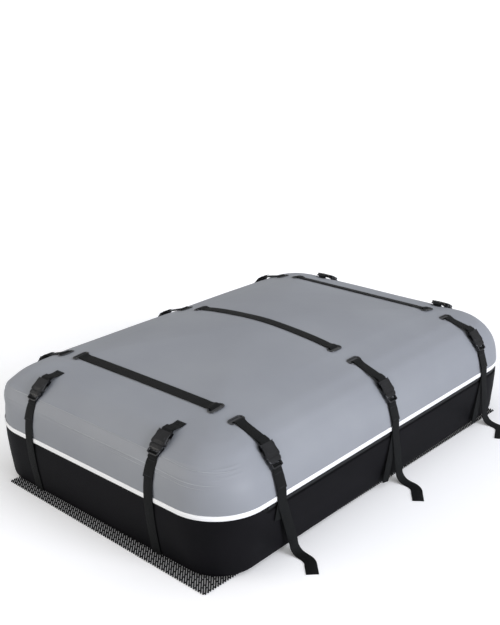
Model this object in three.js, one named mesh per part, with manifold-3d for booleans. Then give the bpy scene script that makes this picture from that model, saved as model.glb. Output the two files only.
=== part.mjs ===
// Roof cargo bag: a black tub and a grey lofted cover joined by a zip, lying on a mesh mat,
// with webbing threaded through slot eyelets to side-release buckles and hanging lower straps.
// Millimetres, +Z up. X is the width, Y the length, and the front end faces -Y.
// The origin lies on the ground under the middle of the bag.
import * as THREE from 'three';
import { mergeVertices } from 'three/addons/utils/BufferGeometryUtils.js';
import Module from 'manifold-3d';

const wasm = await Module();
wasm.setup();

// Bag body
const bagLength = 1300;
const bagWidth = 890;
const frontCornerRadius = 135;
const rearCornerRadius = 160;
const cornerTighten = 0.9;
const leastCornerRadius = 24;
const frontCornerSag = 22;
const baseCornerShare = 0.58;
const baseInset = 14;
const baseEdgeRadius = 16;
const seamHeight = 157;
const shoulderHeight = 284;
const crownHeight = 352;
const sideShoulderInset = 60;
const frontShoulderInset = 58;
const rearShoulderInset = 62;
const sheetThickness = 2.5;
const tubThickness = 3;
const seamGap = 0.5;
const fitGap = 0.3;

// Hem and zip
const hemWidth = 12;
const hemThickness = 2;
const tapeThickness = 1.2;
const tapeOverlap = 11;
const zipOpening = 16;
const coilWidth = 10;
const coilProud = 2.5;
const coilInner = 1.1;
const coilSlot = 3;
const zipEndRun = 24;

// Zip sliders and pulls
const sliderLength = 32;
const sliderHeight = 12.6;
const sliderPlate = 1.8;
const bridgeLength = 8;
const bridgeHeight = 2.2;
const sliderRest = 22;
const sliderTravel = 160;
const bailRadius = 0.9;
const bailSpan = 13;
const knuckleRadius = 2.6;
const knuckleWidth = 5.4;
const pullWidth = 11;
const pullLength = 34;
const pullThickness = 1.8;
const pullHoleRadius = 2.2;

// Mat
const matWidth = 745;
const matLength = 1230;
const matThickness = 4;
const matTurn = 1.2;
const matSideInset = 22.5;
const matFrontOverhang = 11;
const matBorder = 9;
const matSlitLength = 26;
const matSlitWidth = 7;
const matSlitsLong = 34;
const matSlitsShort = 24;

// Webbing and eyelets
const webWidth = 30;
const webThickness = 1.4;
const webInset = 198;
const webSpacing = bagLength / 2 - webInset;
const endStrapSpacing = 224;
const webLift = 0.8;
const innerEyelet = 249;
const outerEyelet = 313;
const slotWidth = 14;
const slotLength = 35;
const slotRoom = 0.2;
const slotCutDepth = 30;
const eyeletRim = 4.5;
const eyeletHeight = 2.8;
const eyeletLift = 0.5;
const slotSegments = 2;
const endStrapInset = 112;
const endStrapStart = bagLength / 2 - endStrapInset;
const sewnLength = 15;
const strapFoldLength = 62;
const tailWidth = 28;
const tailDrift = 30;
const dropBend = 30;
const groundGap = 0.3;

// Buckles
const buckleWidth = 46;
const buckleHeight = 11;
const buckleLift = 3.6;
const sideBuckleLevel = 256;
const endBuckleLevel = 283;
const socketLength = 44;
const plugLength = 30;
const buckleWall = 2.6;
const barWidth = 3.4;
const webSlot = 6;
const prongLength = 25;
const prongWidth = 4.6;
const prongGap = 0.4;
const windowLength = 14;
const tongueWidth = 7.5;

const colours = {
  cover: 0xa4a8ae,
  tub: 0x17171a,
  hem: 0xf4f4f4,
  web: 0x23272b,
  plastic: 0x141416,
  zip: 0x1b1c1f,
  mat: 0x1d1e20,
  metal: 0x3a3c40,
};

const finish = (colour, roughness, metalness = 0) =>
  new THREE.MeshStandardMaterial({ color: colour, roughness, metalness });

const group = new THREE.Group();
group.name = 'roof_cargo_bag';

function addPart(parent, name, geometry, material) {
  const mesh = new THREE.Mesh(geometry, material);
  mesh.name = name;
  parent.add(mesh);
  return mesh;
}

// Closed meshes to solids and back, for cuts and joins.
function toSolid(geometry) {
  const bare = geometry.clone();
  bare.deleteAttribute('normal');
  bare.deleteAttribute('uv');
  const merged = mergeVertices(bare, 1e-4);
  return new wasm.Manifold(new wasm.Mesh({
    numProp: 3,
    vertProperties: new Float32Array(merged.attributes.position.array),
    triVerts: new Uint32Array(merged.index.array),
  }));
}

function fromSolid(solid) {
  const mesh = solid.getMesh();
  const geometry = new THREE.BufferGeometry();
  geometry.setAttribute('position', new THREE.BufferAttribute(mesh.vertProperties, 3));
  geometry.setIndex(new THREE.BufferAttribute(mesh.triVerts, 1));
  geometry.computeVertexNormals();
  return geometry;
}

const cut = (base, ...tools) =>
  fromSolid(tools.reduce((solid, tool) => solid.subtract(toSolid(tool)), toSolid(base)));
const join = (base, ...others) =>
  fromSolid(others.reduce((solid, other) => solid.add(toSolid(other)), toSolid(base)));

function block(x0, x1, y0, y1, z0, z1) {
  const geometry = new THREE.BoxGeometry(x1 - x0, y1 - y0, z1 - z0);
  return geometry.translate((x0 + x1) / 2, (y0 + y1) / 2, (z0 + z1) / 2);
}

function extrude(shape, depth, curveSegments = 6) {
  return new THREE.ExtrudeGeometry(shape, { depth, bevelEnabled: false, curveSegments });
}

// A closed or nearly closed sheet surface is turned so that its faces point out.
function closedBody(points, faces) {
  const geometry = new THREE.BufferGeometry();
  const places = points.flatMap((p) => [p.x, p.y, p.z]);
  geometry.setAttribute('position', new THREE.Float32BufferAttribute(places, 3));
  const volume = faces.reduce((sum, [a, b, c]) =>
    sum + points[a].dot(new THREE.Vector3().crossVectors(points[b], points[c])), 0);
  const turned = volume < 0 ? faces.map(([a, b, c]) => [a, c, b]) : faces;
  geometry.setIndex(turned.flat());
  geometry.computeVertexNormals();
  return geometry;
}

// Loops of the body: rounded rectangles with the same number of points each.
const cornerSteps = 6;
const longSteps = 8;
const shortSteps = 4;

function loopPoints(halfX, front, rear, frontRadius, rearRadius, height) {
  const frontX = halfX - frontRadius;
  const rearX = halfX - rearRadius;
  const frontY = -front + frontRadius;
  const rearY = rear - rearRadius;
  const points = [];
  const straight = (x0, y0, x1, y1, steps) => {
    for (let i = 0; i < steps; i += 1) {
      points.push(new THREE.Vector3(x0 + ((x1 - x0) * i) / steps, y0 + ((y1 - y0) * i) / steps, 0));
    }
  };
  const corner = (cx, cy, radius, start) => {
    for (let i = 0; i < cornerSteps; i += 1) {
      const angle = start + (Math.PI / 2) * (i / cornerSteps);
      points.push(new THREE.Vector3(cx + radius * Math.cos(angle), cy + radius * Math.sin(angle), 0));
    }
  };
  straight(halfX, frontY, halfX, rearY, longSteps);
  corner(rearX, rearY, rearRadius, 0);
  straight(rearX, rear, -rearX, rear, shortSteps);
  corner(-rearX, rearY, rearRadius, Math.PI / 2);
  straight(-halfX, rearY, -halfX, frontY, longSteps);
  corner(-frontX, frontY, frontRadius, Math.PI);
  straight(-frontX, -front, frontX, -front, shortSteps);
  corner(frontX, frontY, frontRadius, 1.5 * Math.PI);
  points.forEach((p) => {
    p.z = height(p);
  });
  return points;
}

// Faces between loops, from the open rim to the last loop, closed by a fan to the point after them.
function skinFaces(loops) {
  const count = loops[0].length;
  const faces = [];
  for (let ring = 0; ring < loops.length - 1; ring += 1) {
    for (let i = 0; i < count; i += 1) {
      const a = ring * count + i;
      const b = ring * count + ((i + 1) % count);
      faces.push([a, b, b + count], [a, b + count, a + count]);
    }
  }
  const last = (loops.length - 1) * count;
  for (let i = 0; i < count; i += 1) faces.push([last + i, last + ((i + 1) % count), loops.length * count]);
  return faces;
}

// A sheet shell: a skin of loops and a centre point, with a lining and a rim.
// The inner face lies one sheet thickness behind the outer one, along the surface normals.
function sheetShell(loops, centre, thickness) {
  const count = loops[0].length;
  const outer = [...loops.flat(), centre];
  const skin = skinFaces(loops);
  const normals = outer.map(() => new THREE.Vector3());
  skin.forEach(([a, b, c]) => {
    const side = outer[b].clone().sub(outer[a]);
    const normal = side.cross(outer[c].clone().sub(outer[a]));
    [a, b, c].forEach((i) => normals[i].add(normal));
  });
  const facesIn = normals[Math.floor(longSteps / 2)].x < 0;
  const inner = outer.map((p, i) => {
    const normal = normals[i];
    if (i < count) normal.z = 0;
    normal.normalize().multiplyScalar(facesIn ? thickness : -thickness);
    return p.clone().add(normal);
  });
  const shift = outer.length;
  const lining = skin.map(([a, b, c]) => [a + shift, c + shift, b + shift]);
  const rim = [];
  for (let i = 0; i < count; i += 1) {
    const j = (i + 1) % count;
    rim.push([i, i + shift, j + shift], [i, j + shift, j]);
  }
  return closedBody([...outer, ...inner], [...skin, ...lining, ...rim]);
}

// Section of the cover, from the seam over the shoulder to the crown, at the sides and at each end.
// Shoulder pairs are shares of the shoulder's inset and rise, crown pairs of what is left of both.
const sideShoulder = [[0, 0], [0, 0.11], [0.083, 0.336], [0.25, 0.565], [0.5, 0.763], [0.75, 0.897], [1, 1]];
const frontShoulder = [[0, 0], [0, 0.11], [0.026, 0.36], [0.138, 0.605], [0.345, 0.794], [0.64, 0.945],
  [1, 1.08]];
const rearShoulder = [[0, 0], [0, 0.11], [0.048, 0.336], [0.19, 0.565], [0.435, 0.747], [0.71, 0.874],
  [1, 0.968]];
const sideCrown = [[0.057, 0.162], [0.114, 0.32], [0.187, 0.441], [0.27, 0.566], [0.353, 0.676],
  [0.55, 0.838], [0.8, 0.963]];
const frontCrown = [[0.034, 0.309], [0.068, 0.382], [0.111, 0.441], [0.172, 0.5], [0.2365, 0.574],
  [0.42, 0.75], [0.68, 0.926]];
const rearCrown = [[0.034, 0.059], [0.071, 0.162], [0.116, 0.25], [0.173, 0.353], [0.235, 0.463],
  [0.42, 0.691], [0.68, 0.91]];
const coverBottom = seamHeight + seamGap;
const shoulderRise = shoulderHeight - coverBottom;
const crownRise = crownHeight - shoulderHeight;

function profile(shoulder, crown, shoulderInset, reach) {
  const low = shoulder.map(([inset, rise]) =>
    new THREE.Vector2(inset * shoulderInset, coverBottom + rise * shoulderRise));
  const high = crown.map(([inset, rise]) =>
    new THREE.Vector2(shoulderInset + inset * (reach - shoulderInset), shoulderHeight + rise * crownRise));
  return new THREE.SplineCurve([...low, ...high]);
}

const sideProfile = profile(sideShoulder, sideCrown, sideShoulderInset, bagWidth / 2);
const frontProfile = profile(frontShoulder, frontCrown, frontShoulderInset, bagLength / 2);
const rearProfile = profile(rearShoulder, rearCrown, rearShoulderInset, bagLength / 2);
const loopCount = sideShoulder.length + sideCrown.length;

// One loop of the cover at t, 0 at the seam and 1 at the last loop before the crown point: how far
// it reaches to the side, the front and the rear, its corner radii, and its height at a point of the
// plan. The front corners sag a little.
function coverLoop(t) {
  const side = sideProfile.getPoint(t);
  const ends = { front: frontProfile.getPoint(t), rear: rearProfile.getPoint(t) };
  const reach = (end) => bagLength / 2 - ends[end].x;
  const halfX = bagWidth / 2 - side.x;
  const cornerRadius = (seamRadius) =>
    Math.min(Math.max(leastCornerRadius, seamRadius - cornerTighten * side.x), halfX - 2);
  const towards = (y) => (y < 0 ? 'front' : 'rear');
  const sag = (frontCornerSag * (side.y - coverBottom)) / shoulderRise;
  const height = (x, y) => {
    const end = towards(y);
    const share = Math.min(1, Math.abs(y) / reach(end)) ** 2;
    const corner = Math.abs((4 * x * y) / (bagWidth * bagLength)) ** 3;
    return THREE.MathUtils.lerp(side.y, ends[end].y, share) - (end === 'front' ? corner * sag : 0);
  };
  return {
    halfX, front: reach('front'), rear: reach('rear'), height,
    frontRadius: cornerRadius(frontCornerRadius), rearRadius: cornerRadius(rearCornerRadius),
    beside: (y) => Math.abs(y) < reach(towards(y)),
  };
}

const coverLoops = [];
for (let i = 0; i < loopCount; i += 1) {
  const { halfX, front, rear, frontRadius, rearRadius, height } = coverLoop(i / (loopCount - 1));
  coverLoops.push(loopPoints(halfX, front, rear, frontRadius, rearRadius, (p) => height(p.x, p.y)));
}
const crownPoint = new THREE.Vector3(0, 0, crownHeight);

// Height of the cover's facets over a point of the plan.
const coverPoints = [...coverLoops.flat(), crownPoint];
const coverFacets = skinFaces(coverLoops).map((face) => face.map((i) => coverPoints[i]));

function coverHeight(x, y) {
  const flat = (p) => new THREE.Vector3(p.x, p.y, 0);
  const heights = coverFacets.map(([a, b, c]) => {
    const facet = new THREE.Triangle(flat(a), flat(b), flat(c));
    const share = facet.getBarycoord(flat({ x, y }), new THREE.Vector3());
    const inside = share && Math.min(share.x, share.y, share.z) > -1e-6;
    return inside ? share.x * a.z + share.y * b.z + share.z * c.z : 0;
  });
  return Math.max(...heights);
}

// The tub tapers in to its floor, and its wall is upright behind the zip.
const tubFloor = matThickness + fitGap;
const uprightFrom = seamHeight - zipOpening - tapeOverlap - 4;
const tubSection = [
  [0, seamHeight],
  [0, uprightFrom],
  [0.3 * baseInset, THREE.MathUtils.lerp(uprightFrom, tubFloor, 0.35)],
  [0.7 * baseInset, THREE.MathUtils.lerp(uprightFrom, tubFloor, 0.65)],
  [baseInset, tubFloor + baseEdgeRadius],
  [baseInset + 0.29 * baseEdgeRadius, tubFloor + 0.29 * baseEdgeRadius],
  [baseInset + baseEdgeRadius, tubFloor],
];
const tubLoops = tubSection.map(([inset, z]) => {
  const share = inset / (baseInset + baseEdgeRadius);
  const tighter = THREE.MathUtils.lerp(1, baseCornerShare, share);
  const reach = bagLength / 2 - inset;
  const radii = [frontCornerRadius * tighter, rearCornerRadius * tighter];
  return loopPoints(bagWidth / 2 - inset, reach, reach, ...radii, () => z);
});

// Plan outline of the seam, moved in by an offset, as a closed shape or as the zip's run round
// both long sides and the rear.
function seamShape(offset) {
  const x = bagWidth / 2 - offset;
  const y = bagLength / 2 - offset;
  const front = frontCornerRadius - offset;
  const rear = rearCornerRadius - offset;
  const shape = new THREE.Shape();
  shape.moveTo(x, -y + front);
  shape.lineTo(x, y - rear);
  shape.absarc(x - rear, y - rear, rear, 0, Math.PI / 2, false);
  shape.lineTo(-x + rear, y);
  shape.absarc(-x + rear, y - rear, rear, Math.PI / 2, Math.PI, false);
  shape.lineTo(-x, -y + front);
  shape.absarc(-x + front, -y + front, front, Math.PI, 1.5 * Math.PI, false);
  shape.lineTo(x - front, -y);
  shape.absarc(x - front, -y + front, front, 1.5 * Math.PI, 2 * Math.PI, false);
  return shape;
}

function seamBand(outerOffset, innerOffset, z0, z1) {
  const shape = seamShape(outerOffset);
  shape.holes.push(seamShape(innerOffset));
  return extrude(shape, z1 - z0, cornerSteps / 2).translate(0, 0, z0);
}

function zipBand(outerOffset, innerOffset, z0, z1, endRun) {
  const front = -bagLength / 2 + frontCornerRadius + endRun;
  const shape = new THREE.Shape();
  const outerX = bagWidth / 2 - outerOffset;
  const outerY = bagLength / 2 - outerOffset;
  const innerX = bagWidth / 2 - innerOffset;
  const innerY = bagLength / 2 - innerOffset;
  const centreX = bagWidth / 2 - rearCornerRadius;
  const centreY = bagLength / 2 - rearCornerRadius;
  shape.moveTo(outerX, front);
  shape.lineTo(outerX, centreY);
  shape.absarc(centreX, centreY, outerX - centreX, 0, Math.PI / 2, false);
  shape.lineTo(-centreX, outerY);
  shape.absarc(-centreX, centreY, outerX - centreX, Math.PI / 2, Math.PI, false);
  shape.lineTo(-outerX, front);
  shape.lineTo(-innerX, front);
  shape.lineTo(-innerX, centreY);
  shape.absarc(-centreX, centreY, innerX - centreX, Math.PI, Math.PI / 2, true);
  shape.lineTo(centreX, innerY);
  shape.absarc(centreX, centreY, innerX - centreX, Math.PI / 2, 0, true);
  shape.lineTo(innerX, front);
  return extrude(shape, z1 - z0, cornerSteps / 2).translate(0, 0, z0);
}

const zipBottom = seamHeight - zipOpening;
const zipCentre = (zipBottom + coverBottom) / 2;
const tubZipCut = zipBand(-5, tubThickness + 5, zipBottom, seamHeight + 5, 0);
const tubShell = sheetShell(tubLoops, new THREE.Vector3(0, 0, tubFloor), tubThickness);
addPart(group, 'base_tub', cut(tubShell, tubZipCut), finish(colours.tub, 0.55));

const hemBottom = coverBottom;
const hemTop = hemBottom + hemWidth;
addPart(group, 'reflective_hem',
  seamBand(-fitGap - hemThickness, -fitGap, hemBottom, hemBottom + hemWidth), finish(colours.hem, 0.35));

const tapeFace = tubThickness + fitGap;
const tapeBack = tapeFace + tapeThickness;
const tape = zipBand(tapeFace, tapeBack, zipBottom - tapeOverlap, coverBottom + tapeOverlap, 3);
const coil = zipBand(tapeFace - coilProud, tapeBack + coilInner, zipCentre - coilWidth / 2,
  zipCentre + coilWidth / 2, zipEndRun);
const slotHalf = sliderRest + sliderTravel + sliderLength / 2;
const coilSlotCut = block(-slotHalf, slotHalf, bagLength / 2 - 20, bagLength / 2 + 20,
  zipCentre - coilSlot / 2, zipCentre + coilSlot / 2);
addPart(group, 'zip_chain', cut(join(tape, coil), coilSlotCut), finish(colours.zip, 0.6));

// Slider: a front and a back plate joined by a bridge that runs in the slot of the coil, with a
// bail on the front plate. The pull's knuckle turns on the bail's bar.
const frontPlateFace = tapeFace - coilProud - 0.4 - sliderPlate;
const backPlateFace = tapeBack + coilInner + 0.4;
const barOut = knuckleRadius + 0.5 - frontPlateFace;

function sliderOutline() {
  const half = sliderLength / 2;
  const shape = new THREE.Shape();
  shape.moveTo(-half, -sliderHeight * 0.36);
  shape.quadraticCurveTo(0, -sliderHeight * 0.64, half, -sliderHeight * 0.36);
  shape.lineTo(half, sliderHeight * 0.36);
  shape.quadraticCurveTo(0, sliderHeight * 0.64, -half, sliderHeight * 0.36);
  return shape;
}

// Pieces of the zip are drawn with the outward direction of the rear wall as +Y from the seam line.
function alongWall(shape, outward, thickness, segments = 5) {
  return extrude(shape, thickness, segments).rotateX(Math.PI / 2).translate(0, outward, 0);
}

function rod(radius, length, sides, x, y) {
  return new THREE.CylinderGeometry(radius, radius, length, sides).rotateZ(Math.PI / 2).translate(x, y, 0);
}

function sliderBody() {
  const front = alongWall(sliderOutline(), -frontPlateFace, sliderPlate, 3);
  const back = alongWall(sliderOutline(), -backPlateFace, sliderPlate, 3);
  const bridge = block(-bridgeLength / 2, bridgeLength / 2, -backPlateFace - 0.5, -frontPlateFace - 0.5,
    -bridgeHeight / 2, bridgeHeight / 2);
  const legs = [-1, 1].map((side) => {
    const x = (side * bailSpan) / 2;
    return block(x - 1.2, x + 1.2, -frontPlateFace - 0.5, barOut + bailRadius, -1.4, 1.4);
  });
  const bar = rod(bailRadius, bailSpan, 8, 0, barOut);
  return join(front, back, bridge, ...legs, bar);
}

function pullTab() {
  const half = pullWidth / 2;
  const shape = new THREE.Shape();
  shape.moveTo(-knuckleWidth / 2, 0);
  shape.lineTo(-knuckleWidth / 2, -knuckleRadius - 2);
  shape.quadraticCurveTo(-half, -knuckleRadius - 4, -half, -knuckleRadius - 9);
  shape.lineTo(-half, -pullLength + half);
  shape.absarc(0, -pullLength + half, half, Math.PI, 2 * Math.PI, false);
  shape.lineTo(half, -knuckleRadius - 9);
  shape.quadraticCurveTo(half, -knuckleRadius - 4, knuckleWidth / 2, -knuckleRadius - 2);
  shape.lineTo(knuckleWidth / 2, 0);
  const eye = new THREE.Path();
  eye.absarc(0, -pullLength + half, pullHoleRadius, 0, 2 * Math.PI, false);
  shape.holes.push(eye);
  const plate = alongWall(shape, pullThickness / 2, pullThickness, 4);
  const knuckle = rod(knuckleRadius, knuckleWidth, 12, 0, 0);
  return cut(join(plate, knuckle), rod(bailRadius + 0.45, knuckleWidth + 2, 12, 0, 0));
}

[['left', -1], ['right', 1]].forEach(([side, sign]) => {
  const carrier = new THREE.Group();
  carrier.position.set(sign * sliderRest, bagLength / 2, zipCentre);
  group.add(carrier);
  addPart(carrier, `zip_slider_${side}`, sliderBody(), finish(colours.metal, 0.4, 0.8));
  const tab = addPart(carrier, `pull_tab_${side}`, pullTab(), finish(colours.plastic, 0.5));
  tab.position.y = barOut;
});

// Mat: a sheet whose border shows the slits of its mesh between ribs.
function matSheet() {
  const halfX = matWidth / 2;
  const halfY = matLength / 2;
  const slits = [];
  const slit = (x0, x1, y0, y1) => slits.push(block(x0, x1, y0, y1, -1, matThickness + 1));
  const runX = (matWidth - 2 * matBorder - matSlitWidth) / (matSlitsShort - 1);
  const sideStart = halfY - matBorder - matSlitLength - runX;
  const runY = (2 * sideStart - matSlitWidth) / (matSlitsLong - 1);
  for (let i = 0; i < matSlitsShort; i += 1) {
    const x = -halfX + matBorder + i * runX;
    slit(x, x + matSlitWidth, -halfY + matBorder, -halfY + matBorder + matSlitLength);
    slit(x, x + matSlitWidth, halfY - matBorder - matSlitLength, halfY - matBorder);
  }
  for (let i = 0; i < matSlitsLong; i += 1) {
    const y = -sideStart + i * runY;
    slit(halfX - matBorder - matSlitLength, halfX - matBorder, y, y + matSlitWidth);
    slit(-halfX + matBorder, -halfX + matBorder + matSlitLength, y, y + matSlitWidth);
  }
  return cut(block(-halfX, halfX, -halfY, halfY, 0, matThickness), ...slits);
}

const mat = addPart(group, 'anti_slip_mat', matSheet(), finish(colours.mat, 0.8));
mat.position.set((bagWidth - matWidth) / 2 - matSideInset, (matLength - bagLength) / 2 - matFrontOverhang, 0);
mat.rotation.z = THREE.MathUtils.degToRad(-matTurn);

// Stations of the webbing. Each has its own frame: +X points outward from the middle of the bag,
// +Y along the width of the webbing. Side straps hang to the ground with a free end that lies on
// it: slant is how far the strap has moved along the wall at the ground, reach the length that lies
// there, swing the direction that it takes, in degrees, and tailEnd the height of the free tail's end.
const sideStations = [
  { name: 'right_front', turn: 0, place: -webSpacing, slant: 38, reach: 105, swing: -45, tailEnd: 108 },
  { name: 'right_middle', turn: 0, place: 0, slant: 22, reach: 122, swing: -52, tailEnd: 14 },
  { name: 'right_rear', turn: 0, place: webSpacing, slant: 20, reach: 125, swing: -64, tailEnd: 14 },
  { name: 'left_front', turn: 180, place: -webSpacing, slant: -18, reach: 100, swing: 40, tailEnd: 14 },
  { name: 'left_middle', turn: 180, place: 0, slant: -12, reach: 112, swing: 35, tailEnd: 14 },
  { name: 'left_rear', turn: 180, place: webSpacing, slant: -20, reach: 104, swing: 45, tailEnd: 14 },
];
const endStations = [
  { name: 'front_left', end: 'front', turn: -90, place: -endStrapSpacing },
  { name: 'front_right', end: 'front', turn: -90, place: endStrapSpacing },
  { name: 'rear_left', end: 'rear', turn: 90, place: -endStrapSpacing },
  { name: 'rear_right', end: 'rear', turn: 90, place: endStrapSpacing },
];

// Section of the cover in a station's own frame: outward distance and height at t, and the
// height beside it, across the webbing.
function sideSection(place) {
  return (t) => {
    const loop = coverLoop(t);
    const { halfX } = loop;
    const height = loop.beside(place) ? loop.height(halfX, place) : coverHeight(halfX, place);
    return new THREE.Vector2(halfX, height);
  };
}

// An end strap lies beside the middle of its end, between two corner points of each loop.
function endSection(end) {
  return (t) => {
    const loop = coverLoop(t);
    const y = end === 'front' ? -loop.front : loop.rear;
    const facet = (2 * (loop.halfX - loop[`${end}Radius`])) / shortSteps;
    const first = Math.floor(endStrapSpacing / facet) * facet;
    const [near, far] = [first, first + facet].map((x) => loop.height(x, y));
    const share = (endStrapSpacing - first) / facet;
    return new THREE.Vector2(loop[end], THREE.MathUtils.lerp(near, far, share));
  };
}

function tAtHeight(section, level) {
  let low = 0;
  let high = 0.7;
  for (let i = 0; i < 30; i += 1) {
    const t = (low + high) / 2;
    if (section(t).y < level) low = t;
    else high = t;
  }
  return low;
}

function tAtDistance(section, distance) {
  let low = 0;
  let high = 1;
  for (let i = 0; i < 30; i += 1) {
    const t = (low + high) / 2;
    if (section(t).x > distance) low = t;
    else high = t;
  }
  return low;
}

// A point lifted off the section along its normal.
function lifted(section, t, lift) {
  const step = 0.004;
  const along = section(Math.min(1, t + step)).sub(section(Math.max(0, t - step))).normalize();
  const normal = new THREE.Vector2(along.y, -along.x);
  return section(t).addScaledVector(normal, lift);
}

// A flat webbing from a list of stops. Each stop has its centre and its direction across.
function webbing(stops, width = webWidth, thickness = webThickness) {
  const points = [];
  stops.forEach(({ at, across }, i) => {
    const before = stops[Math.max(0, i - 1)].at;
    const after = stops[Math.min(stops.length - 1, i + 1)].at;
    const into = i > 0 ? at.clone().sub(before).normalize() : after.clone().sub(at).normalize();
    const out = i < stops.length - 1 ? after.clone().sub(at).normalize() : into;
    const along = into.clone().add(out).normalize();
    const normal = new THREE.Vector3().crossVectors(across, along).normalize();
    const square = new THREE.Vector3().crossVectors(along, normal).normalize();
    const mitre = Math.min(2, 1 / Math.max(0.5, along.dot(out)));
    [[-1, -1], [1, -1], [1, 1], [-1, 1]].forEach(([side, face]) => {
      points.push(at.clone().addScaledVector(square, (side * width) / 2)
        .addScaledVector(normal, (face * thickness * mitre) / 2));
    });
  });
  const faces = [[0, 1, 2], [0, 2, 3]];
  for (let i = 0; i < stops.length - 1; i += 1) {
    for (let k = 0; k < 4; k += 1) {
      const a = i * 4 + k;
      const b = i * 4 + ((k + 1) % 4);
      faces.push([a, a + 4, b + 4], [a, b + 4, b]);
    }
  }
  const last = (stops.length - 1) * 4;
  faces.push([last, last + 2, last + 1], [last, last + 3, last + 2]);
  return closedBody(points, faces);
}

const acrossY = new THREE.Vector3(0, 1, 0);

// Frame of a buckle on its section: middle of its underside, along the strap and out of the cover.
function buckleSeat(section, level) {
  const t = tAtHeight(section, level);
  const step = 0.01;
  const along = section(t - step).sub(section(t + step)).normalize();
  const out = new THREE.Vector2(-along.y, along.x);
  const origin = section(t).addScaledVector(out, buckleLift);
  const point = (s, n) => origin.clone().addScaledVector(along, s).addScaledVector(out, n);
  return { t, along, out, origin, point };
}

const mouth = 7;
const socketBack = mouth - socketLength;
const barTop = 6;
const barBottom = 2;
const halfWeb = webThickness / 2;

// The end of an upper webbing, from the cover to the socket's bar, round it and back on itself.
function barLoop(seat) {
  const barStart = socketBack;
  const barEnd = socketBack + barWidth;
  const under = barBottom - fitGap - halfWeb;
  const over = barTop + fitGap + halfWeb;
  return [
    seat.point(barStart - 3, under),
    seat.point(barEnd + 1, under),
    seat.point(barEnd + webSlot / 2, under + 1.6),
    seat.point(barEnd + webSlot / 2, over - 1.2),
    seat.point(barEnd + 1, over),
    seat.point(barStart - 1, over),
    seat.point(barStart - 5, under + webThickness + 2 * fitGap + 1),
    seat.point(barStart - 12, -0.6),
  ];
}

const webDrape = (point2, shift) => new THREE.Vector3(point2.x, shift, point2.y);

// Lie of a cross web at a distance from the middle: the cover's height under its middle and under
// the line between its edges, its direction across, and the cover's normal along the web.
function coverLie(x, place) {
  const reach = webWidth / 2;
  const [near, middle, far] = [-reach, 0, reach].map((shift) => coverHeight(x, place + shift));
  const step = 8;
  const slope = (coverHeight(x + step, place) - coverHeight(x - step, place)) / (2 * step);
  return {
    top: Math.max(middle, (near + far) / 2),
    bottom: Math.min(middle, (near + far) / 2),
    across: new THREE.Vector3(0, webWidth, far - near).normalize(),
    normal: new THREE.Vector2(-slope, 1).normalize(),
  };
}

// Plane of an eyelet on the cover: it leans with the cover and touches the highest facet that the
// rim lies over.
function eyeletPlane(x, y) {
  const reachX = slotWidth / 2 + eyeletRim;
  const reachY = slotLength / 2 + eyeletRim + slotWidth * slotRoom;
  const slopeX = (coverHeight(x + reachX, y) - coverHeight(x - reachX, y)) / (2 * reachX);
  const slopeY = (coverHeight(x, y + reachY) - coverHeight(x, y - reachY)) / (2 * reachY);
  const grid = [-1, -0.5, 0, 0.5, 1];
  const above = grid.flatMap((i) => grid.map((j) => [i * reachX, j * reachY])).map(([dx, dy]) =>
    coverHeight(x + dx, y + dy) - slopeX * dx - slopeY * dy);
  return { slopeX, slopeY, height: Math.max(...above) };
}

// A cross web in the frame of its row, from the crown out through two eyelets: distances from the
// middle and lifts off the cover, or off an eyelet's plane where it rides over one. Where it lies on
// the cover it clears the facets between its stops.
function drapedHalf(place) {
  const rideRim = eyeletLift + eyeletHeight + 4 * fitGap + halfWeb;
  const under = -(sheetThickness + webLift + halfWeb);
  const flat = webLift + halfWeb;
  const half = slotWidth / 2;
  const rim = half + eyeletRim;
  const inside = 1.5;
  const runs = [
    ...[0, 45, 90, 135, 175, 205].map((x) => [x, flat]),
    [innerEyelet - rim - 10, flat],
    [innerEyelet - rim, rideRim, innerEyelet],
    [innerEyelet - half + inside, rideRim, innerEyelet],
    [innerEyelet + half - inside, under],
    [(innerEyelet + outerEyelet) / 2, under - 0.4],
    [outerEyelet - half + inside, under],
    [outerEyelet + half - inside, rideRim, outerEyelet],
    [outerEyelet + rim, rideRim, outerEyelet],
    [outerEyelet + rim + 8, flat + 0.3],
  ];
  const lies = runs.map(([x]) => coverLie(x, place));
  const heights = runs.map(([x, lift, eyelet], i) => {
    if (!eyelet) return lift > 0 ? lies[i].top : lies[i].bottom;
    const plane = eyeletPlane(eyelet, place);
    return plane.height + plane.slopeX * (x - eyelet);
  });
  const raise = runs.map(() => 0);
  const checks = 6;
  for (let i = 0; i < runs.length - 1; i += 1) {
    for (let k = 1; k < checks && runs[i][1] === flat && runs[i + 1][1] === flat; k += 1) {
      const x = THREE.MathUtils.lerp(runs[i][0], runs[i + 1][0], k / checks);
      const short = coverLie(x, place).top - THREE.MathUtils.lerp(heights[i], heights[i + 1], k / checks);
      raise[i] = Math.max(raise[i], short);
      raise[i + 1] = Math.max(raise[i + 1], short);
    }
  }
  return runs.map(([x, lift], i) => ({
    at: webDrape(new THREE.Vector2(x, heights[i] + raise[i]).addScaledVector(lies[i].normal, lift), 0),
    across: lies[i].across,
  }));
}

[['front', -webSpacing], ['middle', 0], ['rear', webSpacing]].forEach(([name, place]) => {
  const seat = buckleSeat(sideSection(place), sideBuckleLevel);
  const looped = barLoop(seat).map((p) => ({ at: webDrape(p, 0), across: acrossY }));
  const half = [...drapedHalf(place), ...looped];
  const mirrored = half.slice(1).map(({ at, across }) => ({ at: new THREE.Vector3(-at.x, 0, at.z), across }));
  const web = webbing([...mirrored.reverse(), ...half]);
  addPart(group, `cross_web_${name}`, web, finish(colours.web, 0.85)).position.y = place;
});

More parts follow.
